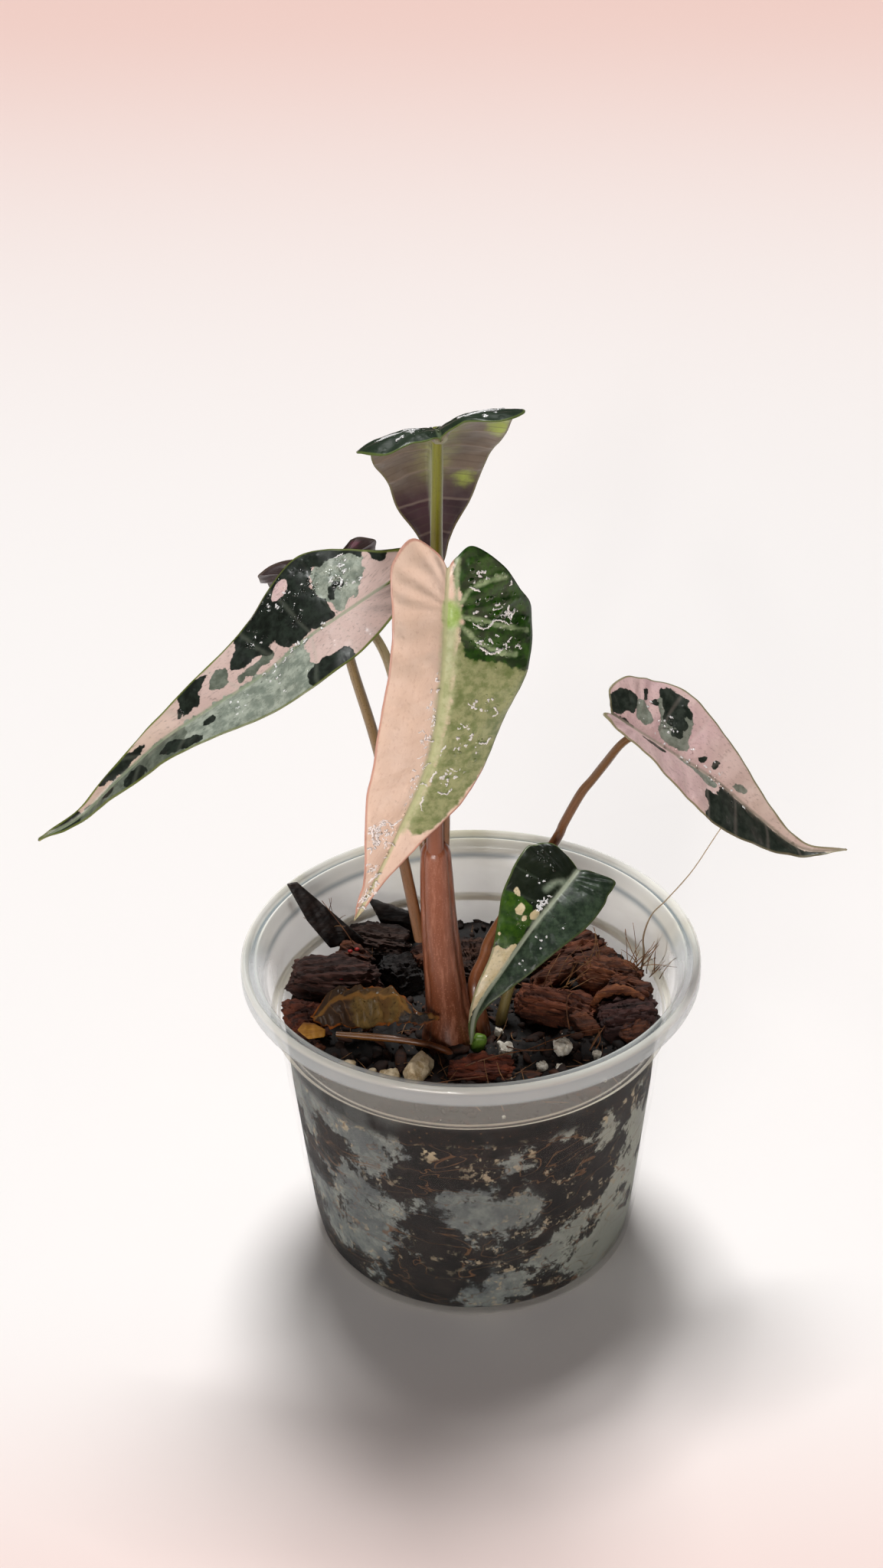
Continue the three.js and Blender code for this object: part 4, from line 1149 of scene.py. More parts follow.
PINK_UNDER = [("#8d7468", "#a88a7c"), [], ("#5d4a3e", "#6c5648"), ("#8b8c4a", "#8f7a5c")]
FINISHES = {
    "blade_front": (
        dict(
            base=("#e9d1bb", "#e5ccb8", "#f2dfce"),
            patches_of=[("olive", "#98a070", "#6a7c44", 0.9, 0.5),
                        ("midrib", "#bfc79a", "#a3b07c", 0.5, 1.3),
                        ("dark", "#0e2c02", "#285404", 1.1, 0.4),
                        ("silver", "#86a070", "#aabd94", 0.4, 0.5),
                        ("blush", "#b9d488", "#98bc58", 0.3, 0.9)],
            veins=("#c9a88e", "#b58e74", 0.13, 0.0), rim=("#cf9f8c", 0.0), drift=(40.0, 75.0), fleck=0.25,
            wet=0.45, mid="#b8c090",
        ),
        PINK_UNDER, FRONT_MARKS,
    ),
    "blade_left": (
        dict(
            base=("#d4bcb4", "#d8c2b0", "#c4aca4"),
            patches_of=[("silver", "#7a8478", "#a8b0a2", 1.1), ("grey", "#525a4e", "#6f776a", 0.7),
                        ("dark", "#111711", "#262f27", 0.8), ("blush", "#d3b6b6", "#dcc3bd", 0.4)],
            veins=("#a9b09e", "#4a4f47", 0.12, 0.1), rim=("#6f7a34", 0.7), drift=(38.0, 56.0), wet=0.5,
            mid="#8e9a80",
        ),
        PINK_UNDER, LEFT_MARKS,
    ),
    "blade_right": (
        dict(
            base=("#cfaeae", "#dcc6b8", "#dcc3ba"),
            patches_of=[("grey", "#6f7568", "#8b9084", 0.6), ("dark", "#182019", "#333a32", 0.9)],
            veins=("#c4b4aa", "#8a7c74", 0.08, 0.12), rim=("#8c8464", 0.5), wet=0.6,
            mid="#a89c8c",
        ),
        PINK_UNDER, RIGHT_MARKS,
    ),
    "blade_low": (
        dict(
            base=("#121a10", "#1a2116", "#222a1a"),
            patches_of=[("grey", "#1d2a1e", "#3a4a38", 0.5, 0.6), ("bright", "#22400a", "#3c5c12", 0.6),
                        ("cream", "#cdbd94", "#dccfae", 0.6), ("silver", "#8f9a86", "#6f7c6a", 0.3, 0.9)],
            veins=("#5c6a58", "#10160c", 0.05, 0.12), rim=("#4c5a30", 0.6), drift=(5.0, 40.0), fleck=0.4,
            wet=0.2, mid="#a0a894", shine=0.25,
        ),
        PINK_UNDER, LOW_MARKS,
    ),
    "blade_top": (
        dict(
            base=("#1c2a1c", "#18241a", "#33402f"), patches_of=[("lime", "#6f8a30", "#8fa848", 0.5)],
            veins=("#4c5a44", "#1c2418", 0.2, 0.0), rim=("#5a6a38", 0.6), mid="#5f6c50",
            rough=0.45, shine=0.12,
        ),
        [
            ("#756a5c", "#5f5548"),
            [("rib_side", "#8c9258", "#7b7f50", 2.0, 4.0), ("deep", "#2c1a22", "#422a32", 1.6, 7.0),
             ("lime", "#a4b854", "#8c9c50", 1.6, 2.4)],
            ("#94877a", "#4c4039"), ("#6f6a4a", "#8f967a"),
        ],
        TOP_MARKS,
    ),
    "blade_back": (
        dict(
            base=("#2a1f22", "#241a1c", "#3a2c2e"), patches_of=[("lime", "#7a4452", "#8a5060", 0.5)],
            veins=("#4a3a3c", "#1c1416", 0.2, 0.1), rim=("#4a3c34", 0.6), mid="#4a3a3a",
            rough=0.5, shine=0.2,
        ),
        [
            ("#35282a", "#463639"),
            [("deep", "#35282a", "#4a3a3c", 1.0, 1.0), ("lime", "#7a3450", "#8c3f5c", 0.8, 0.8)],
            ("#5c4a4a", "#251b1d"), ("#4a3f36", "#5a4c48"),
        ],
        BACK_MARKS,
    ),
}
TIP_WET = [(50, 3), (60, 2), (71, 1), (68, 5), (60, 8.4), (52, 9)]
SHOULDER_WET = [(-4, 16), (2, 6), (12, 3), (24, 8), (23, 15), (8, 21)]
NEAR_WET = [(10, -2), (32, -1), (34, -7), (22, -12), (11, -12)]
LOBE_WET = [(-4, 4), (-4, 10), (2, 12), (8, 11), (9, 5), (2, 4)]
SIDE_WET = [(6, -2), (30, -1), (26, -6), (8, -8)]
# Drops given the second value, and all rims, get a painted white highlight.
WATER = {
    "blade_front": (
        [
            (110, [(-12, -3), (-14, -14), (0, -20), (10, -19), (11, -8), (4, -4)], 0.18, 0.6),
            (60, [(45, 0), (70, 0), (80, -3), (86, 2), (70, 8), (46, 8)], 0.15, 0.45),
            (150, TIP_WET, 0.08, 0.24, PAINTED_HIGHLIGHT),
            (50, [(18, 0.4), (40, 0.4), (48, 0), (46, 3), (30, 2.6), (18, 3)], 0.08, 0.24, PAINTED_HIGHLIGHT),
            (40, [(-4, -4), (12, -8), (12, -17), (2, -20), (-8, -14)], 0.1, 0.26, PAINTED_HIGHLIGHT),
            (30, [(24, -5), (44, -3), (40, -9), (26, -13)], 0.08, 0.2, PAINTED_HIGHLIGHT),
            (60, [(12, -4), (30, -3), (40, -8), (28, -16), (12, -20)], 0.15, 0.5),
        ],
        [
            (0.2, [(31, -3), (32.4, -2.2), (34, -2.4)]), (0.2, [(36.6, -5), (37.5, -7), (36.6, -8)]),
            (0.2, [(38, -2.4), (39.6, -1.8), (41, -2)]), (0.2, [(43.4, -4.4), (43.4, -6.6), (42, -7.4)]),
            (0.2, [(25, -5), (26.2, -6.4), (27, -8)]), (0.2, [(30.6, -11), (31, -13), (29.6, -13.8)]),
            (0.22, [(45, -1.6), (47.6, -2), (50, -4), (51.5, -7)]),
            (0.2, [(20, -6), (21.4, -7.6), (22, -9)]), (0.2, [(22, -13), (23.6, -14.4), (24.4, -13)]),
            (0.2, [(33, 1.6), (34, 4.6), (32, 7), (34.6, 9)]),
            (0.2, [(52, 1), (54, 3), (52.6, 5.6), (55, 7.4), (58, 6.4)]),
            (0.2, [(60, 1), (63, 2.6), (61.6, 5), (65, 6.2), (68, 4.6)]),
            (0.2, [(70, 0.6), (73, 2), (76, 1), (79, 1.4)]),
            (0.24, [(2, -6), (3.4, -9.4), (1.6, -12), (3, -15.6)]),
            (0.24, [(-6, -5), (-5, -8.4), (-7, -11), (-5.6, -14)]),
            (0.2, [(-11, -4), (-12.6, -8), (-11.4, -12), (-8, -16)]),
            (0.24, [(7.4, -8), (9, -11), (8, -14)]),
            *glints(60, TIP_WET, 2.2, 0.17, 3),
            *glints(44, [(10, 0.6), (40, 0.6), (50, 0.4), (48, 4), (30, 4), (10, 4)], 1.8, 0.14, 4),
            *glints(26, [(-12, -4), (0, -5), (12, -8), (12, -16), (0, -20), (-12, -12)], 3.0, 0.2, 5),
            *glints(46, [(20, -5), (44, -3), (40, -9), (26, -14), (18, -14)], 1.2, 0.17, 6),
            *glints(14, [(70, -1), (84, 0), (84, 1.6), (70, 3)], 2.0, 0.16, 7),
        ],
    ),
    "blade_left": (
        [
            (260, SHOULDER_WET, 0.12, 0.42),
            (180, NEAR_WET, 0.1, 0.3),
            (70, [(-14, 12), (-9, 5), (-2, 4), (-2, 15), (-8, 17)], 0.12, 0.5),
            (60, [(33, 7), (42, 6), (46, 2), (38, 3)], 0.1, 0.3),
        ],
        [
            (0.18, [(-12, 12), (-10, 14), (-6, 14.6), (-3, 13)]),
            (0.16, [(-3.6, 6), (-5, 8), (-4, 10), (-1.8, 9)]),
            *glints(26, [(-16, 12), (-10, 5), (-2, 3), (-1, 14), (-8, 17)], 1.6, 0.11, 8),
            *glints(40, SHOULDER_WET, 0.9, 0.08, 9),
            *glints(60, NEAR_WET, 0.6, 0.09, 10),
            *glints(12, [(2, 1), (26, 0.5), (26, -1), (2, -1)], 1.4, 0.11, 11),
        ],
    ),
    "blade_low": (
        [
            (90, LOBE_WET, 0.12, 0.38),
            (40, [(10, 1), (19, 1), (19, 7), (12, 9)], 0.1, 0.34),
            (30, SIDE_WET, 0.08, 0.2),
        ],
        [
            (0.16, [(6.4, 1), (7.4, 2.6), (8.8, 2), (9.8, 3.4)]),
            (0.16, [(8.4, 0.8), (9.8, 1.8), (11.2, 1.2), (12, 2.6)]),
            *glints(16, LOBE_WET, 0.8, 0.09, 12),
            *glints(12, [(6, 0.6), (12, 0.6), (12, 3), (7, 3)], 1.0, 0.11, 13),
            *glints(16, SIDE_WET, 0.5, 0.07, 14),
        ],
    ),
    "blade_top": (
        [(70, [(-12, -14), (-12, 14), (0, 16), (2, -16)], 0.15, 0.5)],
        [
            (0.3, [(-9, -6), (-7, -12), (-4, -14), (-3, -9), (-6, -6)]),
            (0.3, [(-9, 6), (-6, 12), (-3, 15), (-3, 9), (-7, 6)]),
            *glints(16, [(-12, -16), (-12, -5), (-3, -5), (-2, -16)], 3.0, 0.2, 15),
            *glints(16, [(-11, 5), (-11, 16), (-2, 17), (-3, 5)], 3.0, 0.2, 16),
        ],
    ),
    "blade_right": (
        [(50, [(0, -12), (12, -9), (20, -3), (40, 4), (30, 6), (8, 0)], 0.1, 0.3)],
        glints(40, [(-6, -8), (4, -14), (12, -9), (24, -3), (44, 4), (30, 8), (8, 2)], 0.8, 0.1, 17),
    ),
}
SLOT_OF = {"blade_front": "leaf_pink", "blade_top": "leaf_under", "blade_back": "leaf_under"}

for name, leaf in LEAVES.items():
    above, below, marks = FINISHES[name]
    faces = leaf_finish(name + "_upper", **above), under_finish(name + "_lower", *below)
    blade = make_blade(name + "_fine", leaf, marks, faces)
    finish_piece(blade, SLOT_OF.get(name, "leaf_mixed"), name)
    if name in WATER:
        drops, rims = WATER[name]
        spray = make_water(name + "_water", leaf, marks, faces[0], drops, rims, len(drops) + 7)
        finish_piece(spray, SLOT_OF.get(name, "leaf_mixed"))

# %% [markdown]
# ## Stalks and stem
# A leaf stalk is a long thin tube. A disc is extruded in steps, one ring for each step, and the
# rings are moved onto the stalk's curve. The stem is made of the sheaths of the outer stalks,
# so it is wider, with three ribs side by side, and it flares where it enters the soil.

# %% Tubes along a curve


def make_tube(name, points, radii, sides=20, rings=60, shape=None):
    """A closed tube. Shape gives a share of the radius for a turn and a place along it."""
    disc = bpy.ops.mesh.primitive_circle_add
    piece = start(disc, name, vertices=sides, radius=1, fill_type="NGON")
    edit(piece)
    for _ in range(rings):
        bpy.ops.mesh.extrude_region_move(TRANSFORM_OT_translate={"value": (0, 0, 1)})
    done()
    flat = corners(piece) * MM
    ring = np.round(flat[:, 2]).astype(int)
    turn = np.arctan2(flat[:, 1], flat[:, 0])
    steps = np.linspace(0, 1, rings + 1)
    line = curve(points, steps)
    size = curve(radii, steps)
    side = np.array([1.0, 0, 0])
    sides_at, ups_at = [], []
    for i in range(rings + 1):
        way = unit(line[min(i + 1, rings)] - line[max(i - 1, 0)])
        side = unit(side - way * (side @ way))
        sides_at.append(side)
        ups_at.append(np.cross(way, side))
    r = size[ring] * (shape(turn, ring / rings) if shape else 1)
    across = np.array(sides_at)[ring] * (r * np.cos(turn))[:, None]
    upward = np.array(ups_at)[ring] * (r * np.sin(turn))[:, None]
    place_corners(piece, line[ring] + across + upward)
    note(piece, "far", ring / rings)
    note(piece, "turn", turn)
    edit(piece)
    bpy.ops.mesh.normals_make_consistent(inside=False)
    done()
    smooth(piece, 60)
    return piece


# %% The stem and the six stalks
STEM_POINTS = [[-5.2, -10, 54], [-5.3, -10, 64], [-6.3, -9.5, 78], [-7.7, -8.6, 98], [-8.2, -8, 112.2],
               [-8.3, -7.6, 122.6]]
STEM_RADII = [5.8, 6, 5.3, 4.5, 4, 3.5]
STALKS = {
    "petiole_front": (
        [[-8.3, -9, 112], [-8.3, -9, 130], [-7, -9.5, 155], [-5.6, -13, 178], [-5.2, -20, 190],
         [-5.2, -26.4, 192.4]],
        [2.2, 2, 1.7, 1.5, 1.3, 1.1],
        ("#8a5036", "#9a7a50", "#7c4a30"),
    ),
    "petiole_top": (
        [[-7, -6.6, 112], [-6.2, -5.4, 130], [-6.2, -4, 162], [-6.7, -3.5, 194], [-6.2, -2.7, 216],
         [-6, -2.4, 225.4]],
        [1.6, 1.6, 1.5, 1.4, 1.3, 1.2],
        ("#8a5a34", "#747a0c", "#5d5a14"),
    ),
    "petiole_back": (
        [[-9.6, -6.4, 112], [-11, -4.4, 120], [-14.5, 3, 141.5], [-18.6, 10, 161.8], [-25, 17, 171],
         [-33.4, 20.4, 181.8]],
        [1.5, 1.4, 1.3, 1.2, 1.1, 1],
        ("#82582f", "#a9a07c", "#6d5c34"),
    ),
    "petiole_left": (
        [[-12.6, -7.6, 94], [-16.3, -7.6, 118.2], [-21.4, -7.5, 148], [-26.6, -8, 170.2],
         [-29, -9.5, 183.8]],
        [1.5, 1.4, 1.3, 1.2, 1.1],
        ("#7a5230", "#8b7a54", "#4c3a20"),
    ),
    "petiole_right": (
        [[2.6, -9.6, 57], [2.7, -9.5, 66], [0.9, -6.6, 78.6], [3.4, -1.6, 83.4], [6.5, 4, 88.4],
         [21.5, 13.2, 108.2], [24.4, 14, 114.2], [28.4, 13.6, 122.8], [31.2, 12.7, 127.4],
         [34.1, 11.2, 132.7], [37.8, 8.9, 139.5], [42, 6.4, 144.2]],
        [2.3, 2.2, 1.9, 1.6, 1.5, 1.3, 1.2, 1.2, 1.1, 1.1, 1, 1],
        ("#7a4426", "#6e4e2a", "#4a2a18"),
    ),
    "petiole_low": (
        [[6.2, -3.6, 56], [7.7, -3.5, 66], [11, -2, 78], [19, 0.6, 94], [25.2, 0.8, 105.4]],
        [1.6, 1.5, 1.2, 1, 0.9],
        ("#7c6a3c", "#8a8050", "#54502a"),
    ),
}


def stalk_finish(name, low, high, speck, streak=0.5):
    """A smooth stalk: its colour drifts from foot to blade, with long fine streaks and dots."""
    made, shader = finish_of(name, Roughness=0.34, Coat_Weight=0.35, Coat_Roughness=0.12)
    here = object_place()
    far = stored("far")
    turn = stored("turn")
    tone = blend(between(far, 0.05, 0.85), colour(low), colour(high))
    around = node("CombineXYZ", {0: sum_of("COSINE", turn), 1: sum_of("SINE", turn)})
    sliding = node("CombineXYZ", {2: times(far, 3.0)}).outputs[0]
    tube = node("VectorMath", {0: around.outputs[0], 1: sliding}, operation="ADD").outputs[0]
    lengthwise = noise(tube, 3.2, 4.0, 0.7)
    tone = over(tone, speck, between(lengthwise, 0.45, 0.7), streak)
    dots = use(specks, Vector=here, Size=1500.0, Radius=0.3)[0]
    feed(shader, Base_Color=over(tone, speck, dots, 0.4))
    skin = bump(lengthwise, 0.4, 0.25)
    feed(shader, Normal=bump(noise(here, 1800.0, 2.0), 0.2, 0.06, skin))
    return made


for name, (points, radii, tones) in STALKS.items():
    tube = make_tube(name + "_fine", points, radii)
    made = stalk_finish(name.replace("petiole", "stalk"), *tones)
    finish_piece(tube, "stalk", name, made=made)


def sheaths(turn, far):
    """Three stalk bases side by side, with seams between, that flare at the foot."""
    ribs = np.abs(np.cos(1.5 * (turn + 1.57))) ** 0.5
    slim = 1 - 0.45 * np.clip((far - 0.93) / 0.07, 0, 1) ** 2
    return (0.87 + 0.17 * ribs + 0.28 * np.exp(-(((far - 0.2) / 0.1) ** 2))) * slim


stem = make_tube("stem_fine", STEM_POINTS, STEM_RADII, sides=48, rings=80, shape=sheaths)
stem_finish = stalk_finish("stem_sheaths", "#5c2c12", "#8e5236", "#b0765c", 0.7)
finish_piece(stem, "stem", "stem_base", made=stem_finish)

# %% [markdown]
# ## The tub
# The tub is a pressed food tub in frosted clear plastic: a thin wall, a small step and a rolled
# rim with a groove. A loop of points is laid on its profile and spun round the axis. Soil that
# touches the wall shows dark through it. Where the wall stands clear of the soil it looks milky.

# %% Spin a profile


def make_spun(name, profile, steps=144):
    """A closed body from a closed profile of radius and height in mm."""
    ring = bpy.ops.mesh.primitive_circle_add
    piece = start(ring, name, vertices=len(profile), radius=1)
    order = np.argsort(np.mod(-np.arctan2(*(corners(piece) * MM)[:, :2].T[::-1]), 2 * math.pi))
    points = np.zeros((len(profile), 3))
    points[order] = [[r, 0, z] for r, z in profile]
    place_corners(piece, points)
    edit(piece)
    bpy.ops.mesh.spin(steps=steps, angle=2 * math.pi, center=(0, 0, 0), axis=(0, 0, 1))
    bpy.ops.mesh.select_all(action="SELECT")
    bpy.ops.mesh.remove_doubles(threshold=0.00001)
    bpy.ops.mesh.dissolve_degenerate(threshold=0.000001)
    bpy.ops.mesh.select_all(action="SELECT")
    bpy.ops.mesh.normals_make_consistent(inside=False)
    done()
    smooth(piece, 50)
    return piece


RIM_R, POT_H, BASE_R, STEP_Z, WALL = 58.5, 86.5, 43.5, 69, 0.9
GROOVE_R = 55.7  # middle of the groove in the rim's top
base = [(0, 0), (20, 0.1), (BASE_R - 3.4, 0.1), (BASE_R - 2.2, 0), (BASE_R - 1.1, 0.7), (BASE_R - 0.1, 2.6)]
body = [(BASE_R + 1, 10), (45.6, 20), (46.5, 30), (47.5, 40), (48.4, 50), (49.3, 59), (50.3, STEP_Z - 0.4)]
step = [(51.2, STEP_Z), (51.7, STEP_Z + 0.5), (51.9, STEP_Z + 1.1), (52.5, 76), (53, POT_H - 5.9)]
rim = [(54.6, POT_H - 6), (56.6, POT_H - 5.7), (57.6, POT_H - 5.5), (58.2, POT_H - 5),
       (RIM_R, POT_H - 4.2), (RIM_R, POT_H - 2.4), (58.4, POT_H - 1.1), (57.9, POT_H - 0.3),
       (57.3, POT_H), (56.8, POT_H - 0.3), (56.5, POT_H - 1), (56.2, POT_H - 1.7), (55.7, POT_H - 2),
       (55.2, POT_H - 1.6), (54.9, POT_H - 1.2), (54.5, POT_H - 1.2), (54.1, POT_H - 1.7),
       (53.6, POT_H - 2.8), (53.1, POT_H - 3.8), (52.1, POT_H - 6)]
inside = [(51.6 - WALL, 76), (51.9 - WALL, STEP_Z + 1.6), (51.4 - WALL, STEP_Z + 0.9),
          (50.3 - WALL, STEP_Z + 0.1), (49.3 - WALL, 59), (48.4 - WALL, 50), (46.5 - WALL, 30),
          (BASE_R + 1 - WALL, 10), (BASE_R - 0.1 - WALL, 3.6), (BASE_R - 1.6 - WALL, 1.8),
          (BASE_R - 3.6, 1.2), (20, 1.2), (0, 1.2)]
pot = make_spun("tub", base + body + step + rim + inside)


def tub_finish():
    """Clear plastic, told by how much it covers: haze, a milky far side, rim, grooves with painted shade, a
    ridge with a painted highlight, and foot.
    """
    made, shader = finish_of("tub_plastic", Roughness=0.12, IOR=1.52)
    here = object_place()
    height, from_axis = axis(here, "Z"), times_vector(here, (1, 1, 0))
    rear = times(between(axis(here, "Y"), -0.004, 0.012), between(height, 0.0575, 0.0615))
    above = larger(between(height, (STEP_Z - 2.5) * MM, (STEP_Z + 1.5) * MM), rear)
    at_rim = between(height, (POT_H - 7) * MM, (POT_H - 5) * MM)
    # The rim's rounded top gets more cover and keeps a whiter tint than the rest of the rim: a painted
    # highlight.
    ridge = between(height, (POT_H - 1.7) * MM, (POT_H - 0.7) * MM)
    radius = node("VectorMath", {0: from_axis}, operation="LENGTH").outputs["Value"]
    # Painted shade: the groove in the rim's top and the underside of the rim's lip are tinted a darker
    # blue-grey.
    groove_shade = fading(size_of(minus(radius, GROOVE_R * MM)), 0.0002, 0.0007)
    groove_shade = times(groove_shade, between(height, (POT_H - 3.5) * MM, (POT_H - 3) * MM))
    under_lip = fading(height, (POT_H - 5.3) * MM, (POT_H - 3.9) * MM)
    groove_shade = larger(groove_shade, times(under_lip, at_rim))
    ring_line = fading(size_of(minus(height, (STEP_Z - 0.1) * MM)), 0.0003, 0.0009)
    foot = fading(height, 0.0008, 0.0032)
    haze = between(noise(here, 40.0, 7.0, 0.68, 0.25), 0.5, 0.62)
    cover = times_plus(above, 0.1, 0.02)
    for mask, strength in (
        (rear, 0.34), (at_rim, 0.3), (ridge, 0.3), (times(haze, rest(above)), 0.12), (ring_line, 0.45),
        (foot, 0.12),
    ):
        cover = times_plus(mask, strength, cover)
    feed(shader, Alpha=smaller(cover, 1.0))
    tint = blend(above, colour("#7c8482"), colour("#e6e8e0"))
    # The rim band turns bluish, but not on its ridge, which stays whiter as a painted highlight.
    tint = over(tint, "#cfd8da", minus(at_rim, ridge))
    smudge = between(noise(here, 32.0, 3.0), 0.4, 0.7)
    tint = blend(rear, tint, blend(smudge, colour("#f6f5ee"), colour("#dedbc6")))
    # Painted shade in the grooves and under the lip.
    tint = over(tint, "#9aa5a8", groove_shade)
    feed(shader, Base_Color=over(tint, "#efe9d6", larger(ring_line, foot)))
    feed(shader, Normal=bump(noise(here, 160.0, 3.0, 0.6), 0.05, 0.08))
    return made


finish_piece(pot, "pot_plastic", "pot", made=tub_finish())

# %% [markdown]
# ## Soil
# Potting mix for these plants is dark, damp and coarse. The soil is one solid that fills the tub:
# its half section is spun round the axis, and its top is moved up and down. Crumbs are
# scattered on it later. Its side shows through the tub, so the finish changes there to damp mix pressed
# on plastic, with pale bits, roots and grey haze.

# %% The soil's body
GAP = 0.3  # mm between soil and wall
SOIL_R = 49.4 - WALL - GAP
SOIL_Z = 64.5  # mean height of its top
SOIL_SLOPE = 0.06  # fall of the top towards the back
SOIL_BUMPS = 1.1  # height of its bumps


def soil_height(x, y):
    """Height of the top at places in mm."""
    square = np.sin(x * 0.34 + 1.3) * np.cos(y * 0.29 - 0.7)
    slanted = 0.7 * np.sin(x * 0.13 - y * 0.41)
    fine = 0.5 * np.cos(x * 0.61 + y * 0.22)
    edge = np.hypot(x, y) / SOIL_R
    return SOIL_Z - SOIL_SLOPE * y + SOIL_BUMPS * (square + slanted + fine) * (1 - 0.4 * edge**4)


wall_line = [(48.4, 50), (46.5, 30), (BASE_R + 1, 10), (BASE_R - 0.1, 3.8)]
top_line = [(SOIL_R * i / 56, SOIL_Z) for i in range(57)]
side_line = [(r - WALL - GAP, z) for r, z in wall_line]
side_line += [(BASE_R - 2.4, 2.1), (BASE_R - 4.4, 1.6), (0, 1.6)]
soil = make_spun("soil_fine", (top_line + side_line)[::-1], steps=168)
points = corners(soil)
is_top = points[:, 2] > SOIL_Z - 0.5
x, y = points[:, 0], points[:, 1]
flat_place = np.stack([x, y, 0 * x], 1)
grit = 0.55 * uneven(flat_place, 5.5, 2, 4) + 0.35 * np.abs(uneven(flat_place, 2.4, 8, 2))
points[:, 2] = np.where(is_top, soil_height(x, y) + grit, points[:, 2])
place_corners(soil, points)
smooth(soil)


def soil_finish():
    """Dark damp mix. Below the top it shows haze, pale bits and roots, as seen through the tub."""
    made, shader = finish_of("damp_soil", Roughness=0.75, Specular_IOR_Level=0.35)
    here = object_place()
    clods = noise(here, 260.0, 6.0, 0.7)
    tone = blend(between(clods, 0.35, 0.7), colour("#050403"), colour("#1c120d"))
    bits = use(specks, Vector=here, Size=520.0, Radius=0.16)[0]
    tone = over(tone, "#7a5a40", bits, 0.5)
    height = axis(here, "Z")
    mottle = between(noise(here, 120.0, 7.0, 0.75), 0.38, 0.66)
    pressed = blend(mottle, colour("#0c0807"), colour("#241d1a"))
    ragged_haze = between(noise(here, 42.0, 10.0, 0.72, 0.1), 0.505, 0.545)
    grey = blend(mottle, colour("#565b5c"), colour("#8a9089"))
    grey = over(grey, "#a3a698", between(axis(here, "X"), 0.0, 0.045))
    pressed = blend(ragged_haze, pressed, grey)
    cluster = between(noise(here, 55.0, 2.0), 0.42, 0.6)
    crumb = between(noise(here, 330.0, 5.0, 0.7), 0.57, 0.63)
    pressed = over(pressed, "#a89a80", times(crumb, cluster), 0.8)
    stones = between(noise(here, 210.0, 3.0, 0.6), 0.6, 0.66)
    pressed = over(pressed, "#b3a587", times(stones, between(height, 0.05, 0.06)))
    roots = noise(stretched(here, (1.0, 1.0, 3.0), (0.4, 0.3, 0.2)), 48.0, 2.0, 0.5, 1.2)
    pressed = over(pressed, "#6a4a30", fading(size_of(minus(roots, 0.5)), 0.003, 0.01), 0.7)
    feed(shader, Base_Color=blend(fading(height, 0.0585, 0.062), tone, pressed))
    feed(shader, Normal=bump(noise(here, 420.0, 5.0, 0.65), 0.6, 0.5))
    return made


finish_piece(soil, "soil", "soil", made=soil_finish())

# %% [markdown]
# ## Bark, husk, pebbles and grains
# Pieces of bark and coconut husk lie in the soil, with pebbles and white perlite. Each starts as
# an icosphere that is squared off a little and made uneven by five slanted waves. Bark gets
# layers and cracks along its length, husk gets fibres, and grains stay small and pitted.

# %% Build a lump
SQUARENESS = 4.2  # 2 is a ball, and more is closer to a box
WAVES = 5  # slanted waves that make a lump uneven
LUMP_SEED, PEBBLE_SEED, PERLITE_SEED, CHIP_SEED = 3, 31, 41, 71  # of the first piece of a kind


SPREADING = 2654435761  # spreads small seeds over all 32 bits
ALL_BITS = 2**32 - 1


def stream(seed):
    """A repeatable stream of numbers from 0 to 1, as part.mjs draws them."""
    state = (seed * SPREADING) & ALL_BITS
    while True:
        state ^= (state << 13) & ALL_BITS
        state ^= state >> 17
        state ^= (state << 5) & ALL_BITS
        yield state / 2**32


def make_lump(name, at, half, turn, seed, detail=5, chips=0, layers=0.0, grit=0.0, pits=0.0):
    """An uneven lump with flat chips, turned by degrees about Z, Y and X. Relief is in mm."""
    piece = start(bpy.ops.mesh.primitive_ico_sphere_add, name, subdivisions=detail, radius=1)
    ball = unit(corners(piece) * MM)
    draw = stream(seed)
    scale = np.sum(np.abs(ball) ** SQUARENESS, axis=1) ** (-1 / SQUARENESS)
    for _ in range(WAVES):
        way = np.array([6.4 * next(draw) - 3.2 for _ in range(3)])
        shift = next(draw) * 2 * math.pi
        scale += (0.03 + 0.03 * next(draw)) * np.sin(ball @ way + shift)
    points = ball * scale[:, None] * np.array(half)
    long = points * np.array([0.16, 1, 1])
    for _ in range(chips):
        way = unit(np.array([2 * next(draw) - 1 for _ in range(3)]) * np.array([0.6, 1, 1.2]))
        reach = points @ way
        limit = reach.max() * (0.7 + 0.26 * next(draw))
        points -= np.clip(reach - limit, 0, None)[:, None] * way
    relief = layers * (uneven(long, 2.6, seed + 1, 3) + 0.5 * uneven(long, 0.9, seed + 2, 2))
    relief += grit * uneven(points, 1.8, seed + 3, 3)
    relief -= pits * np.clip(uneven(points, 1.3, seed + 4, 2) - 0.25, 0, 1)
    points += ball * relief[:, None]
    z, y, x = (math.radians(v) for v in turn)
    matrix = np.array(Euler((x, y, z), "XYZ").to_matrix())
    place_corners(piece, points @ matrix.T + np.array(at))
    smooth(piece, 40)
    return piece


def grain_finish(name, low, high, speck, grain=0.08, size=700.0, rough=0.8, depth=0.9, turn=0.0):
    """A fibrous or layered finish along the lump's own length."""
    made, shader = finish_of(name, Roughness=rough, Specular_IOR_Level=0.35)
    here = stretched(object_place(), (1, 1, 1), (0, 0, math.radians(-turn)))
    fibres = use(fibre_grain, Vector=here, Size=size, Long=grain)
    tone = blend(between(fibres["Height"], 0.34, 0.68), colour(low), colour(high))
    tone = over(tone, speck, between(fibres["Fine"], 0.55, 0.8), 0.6)
    cloud = between(noise(here, 180.0, 3.0), 0.4, 0.75)
    feed(shader, Base_Color=over(tone, low, cloud, 0.35))
    skin = bump(fibres["Height"], 0.9, depth)
    feed(shader, Normal=bump(fibres["Fine"], 0.7, depth * 0.4, skin))
    return made


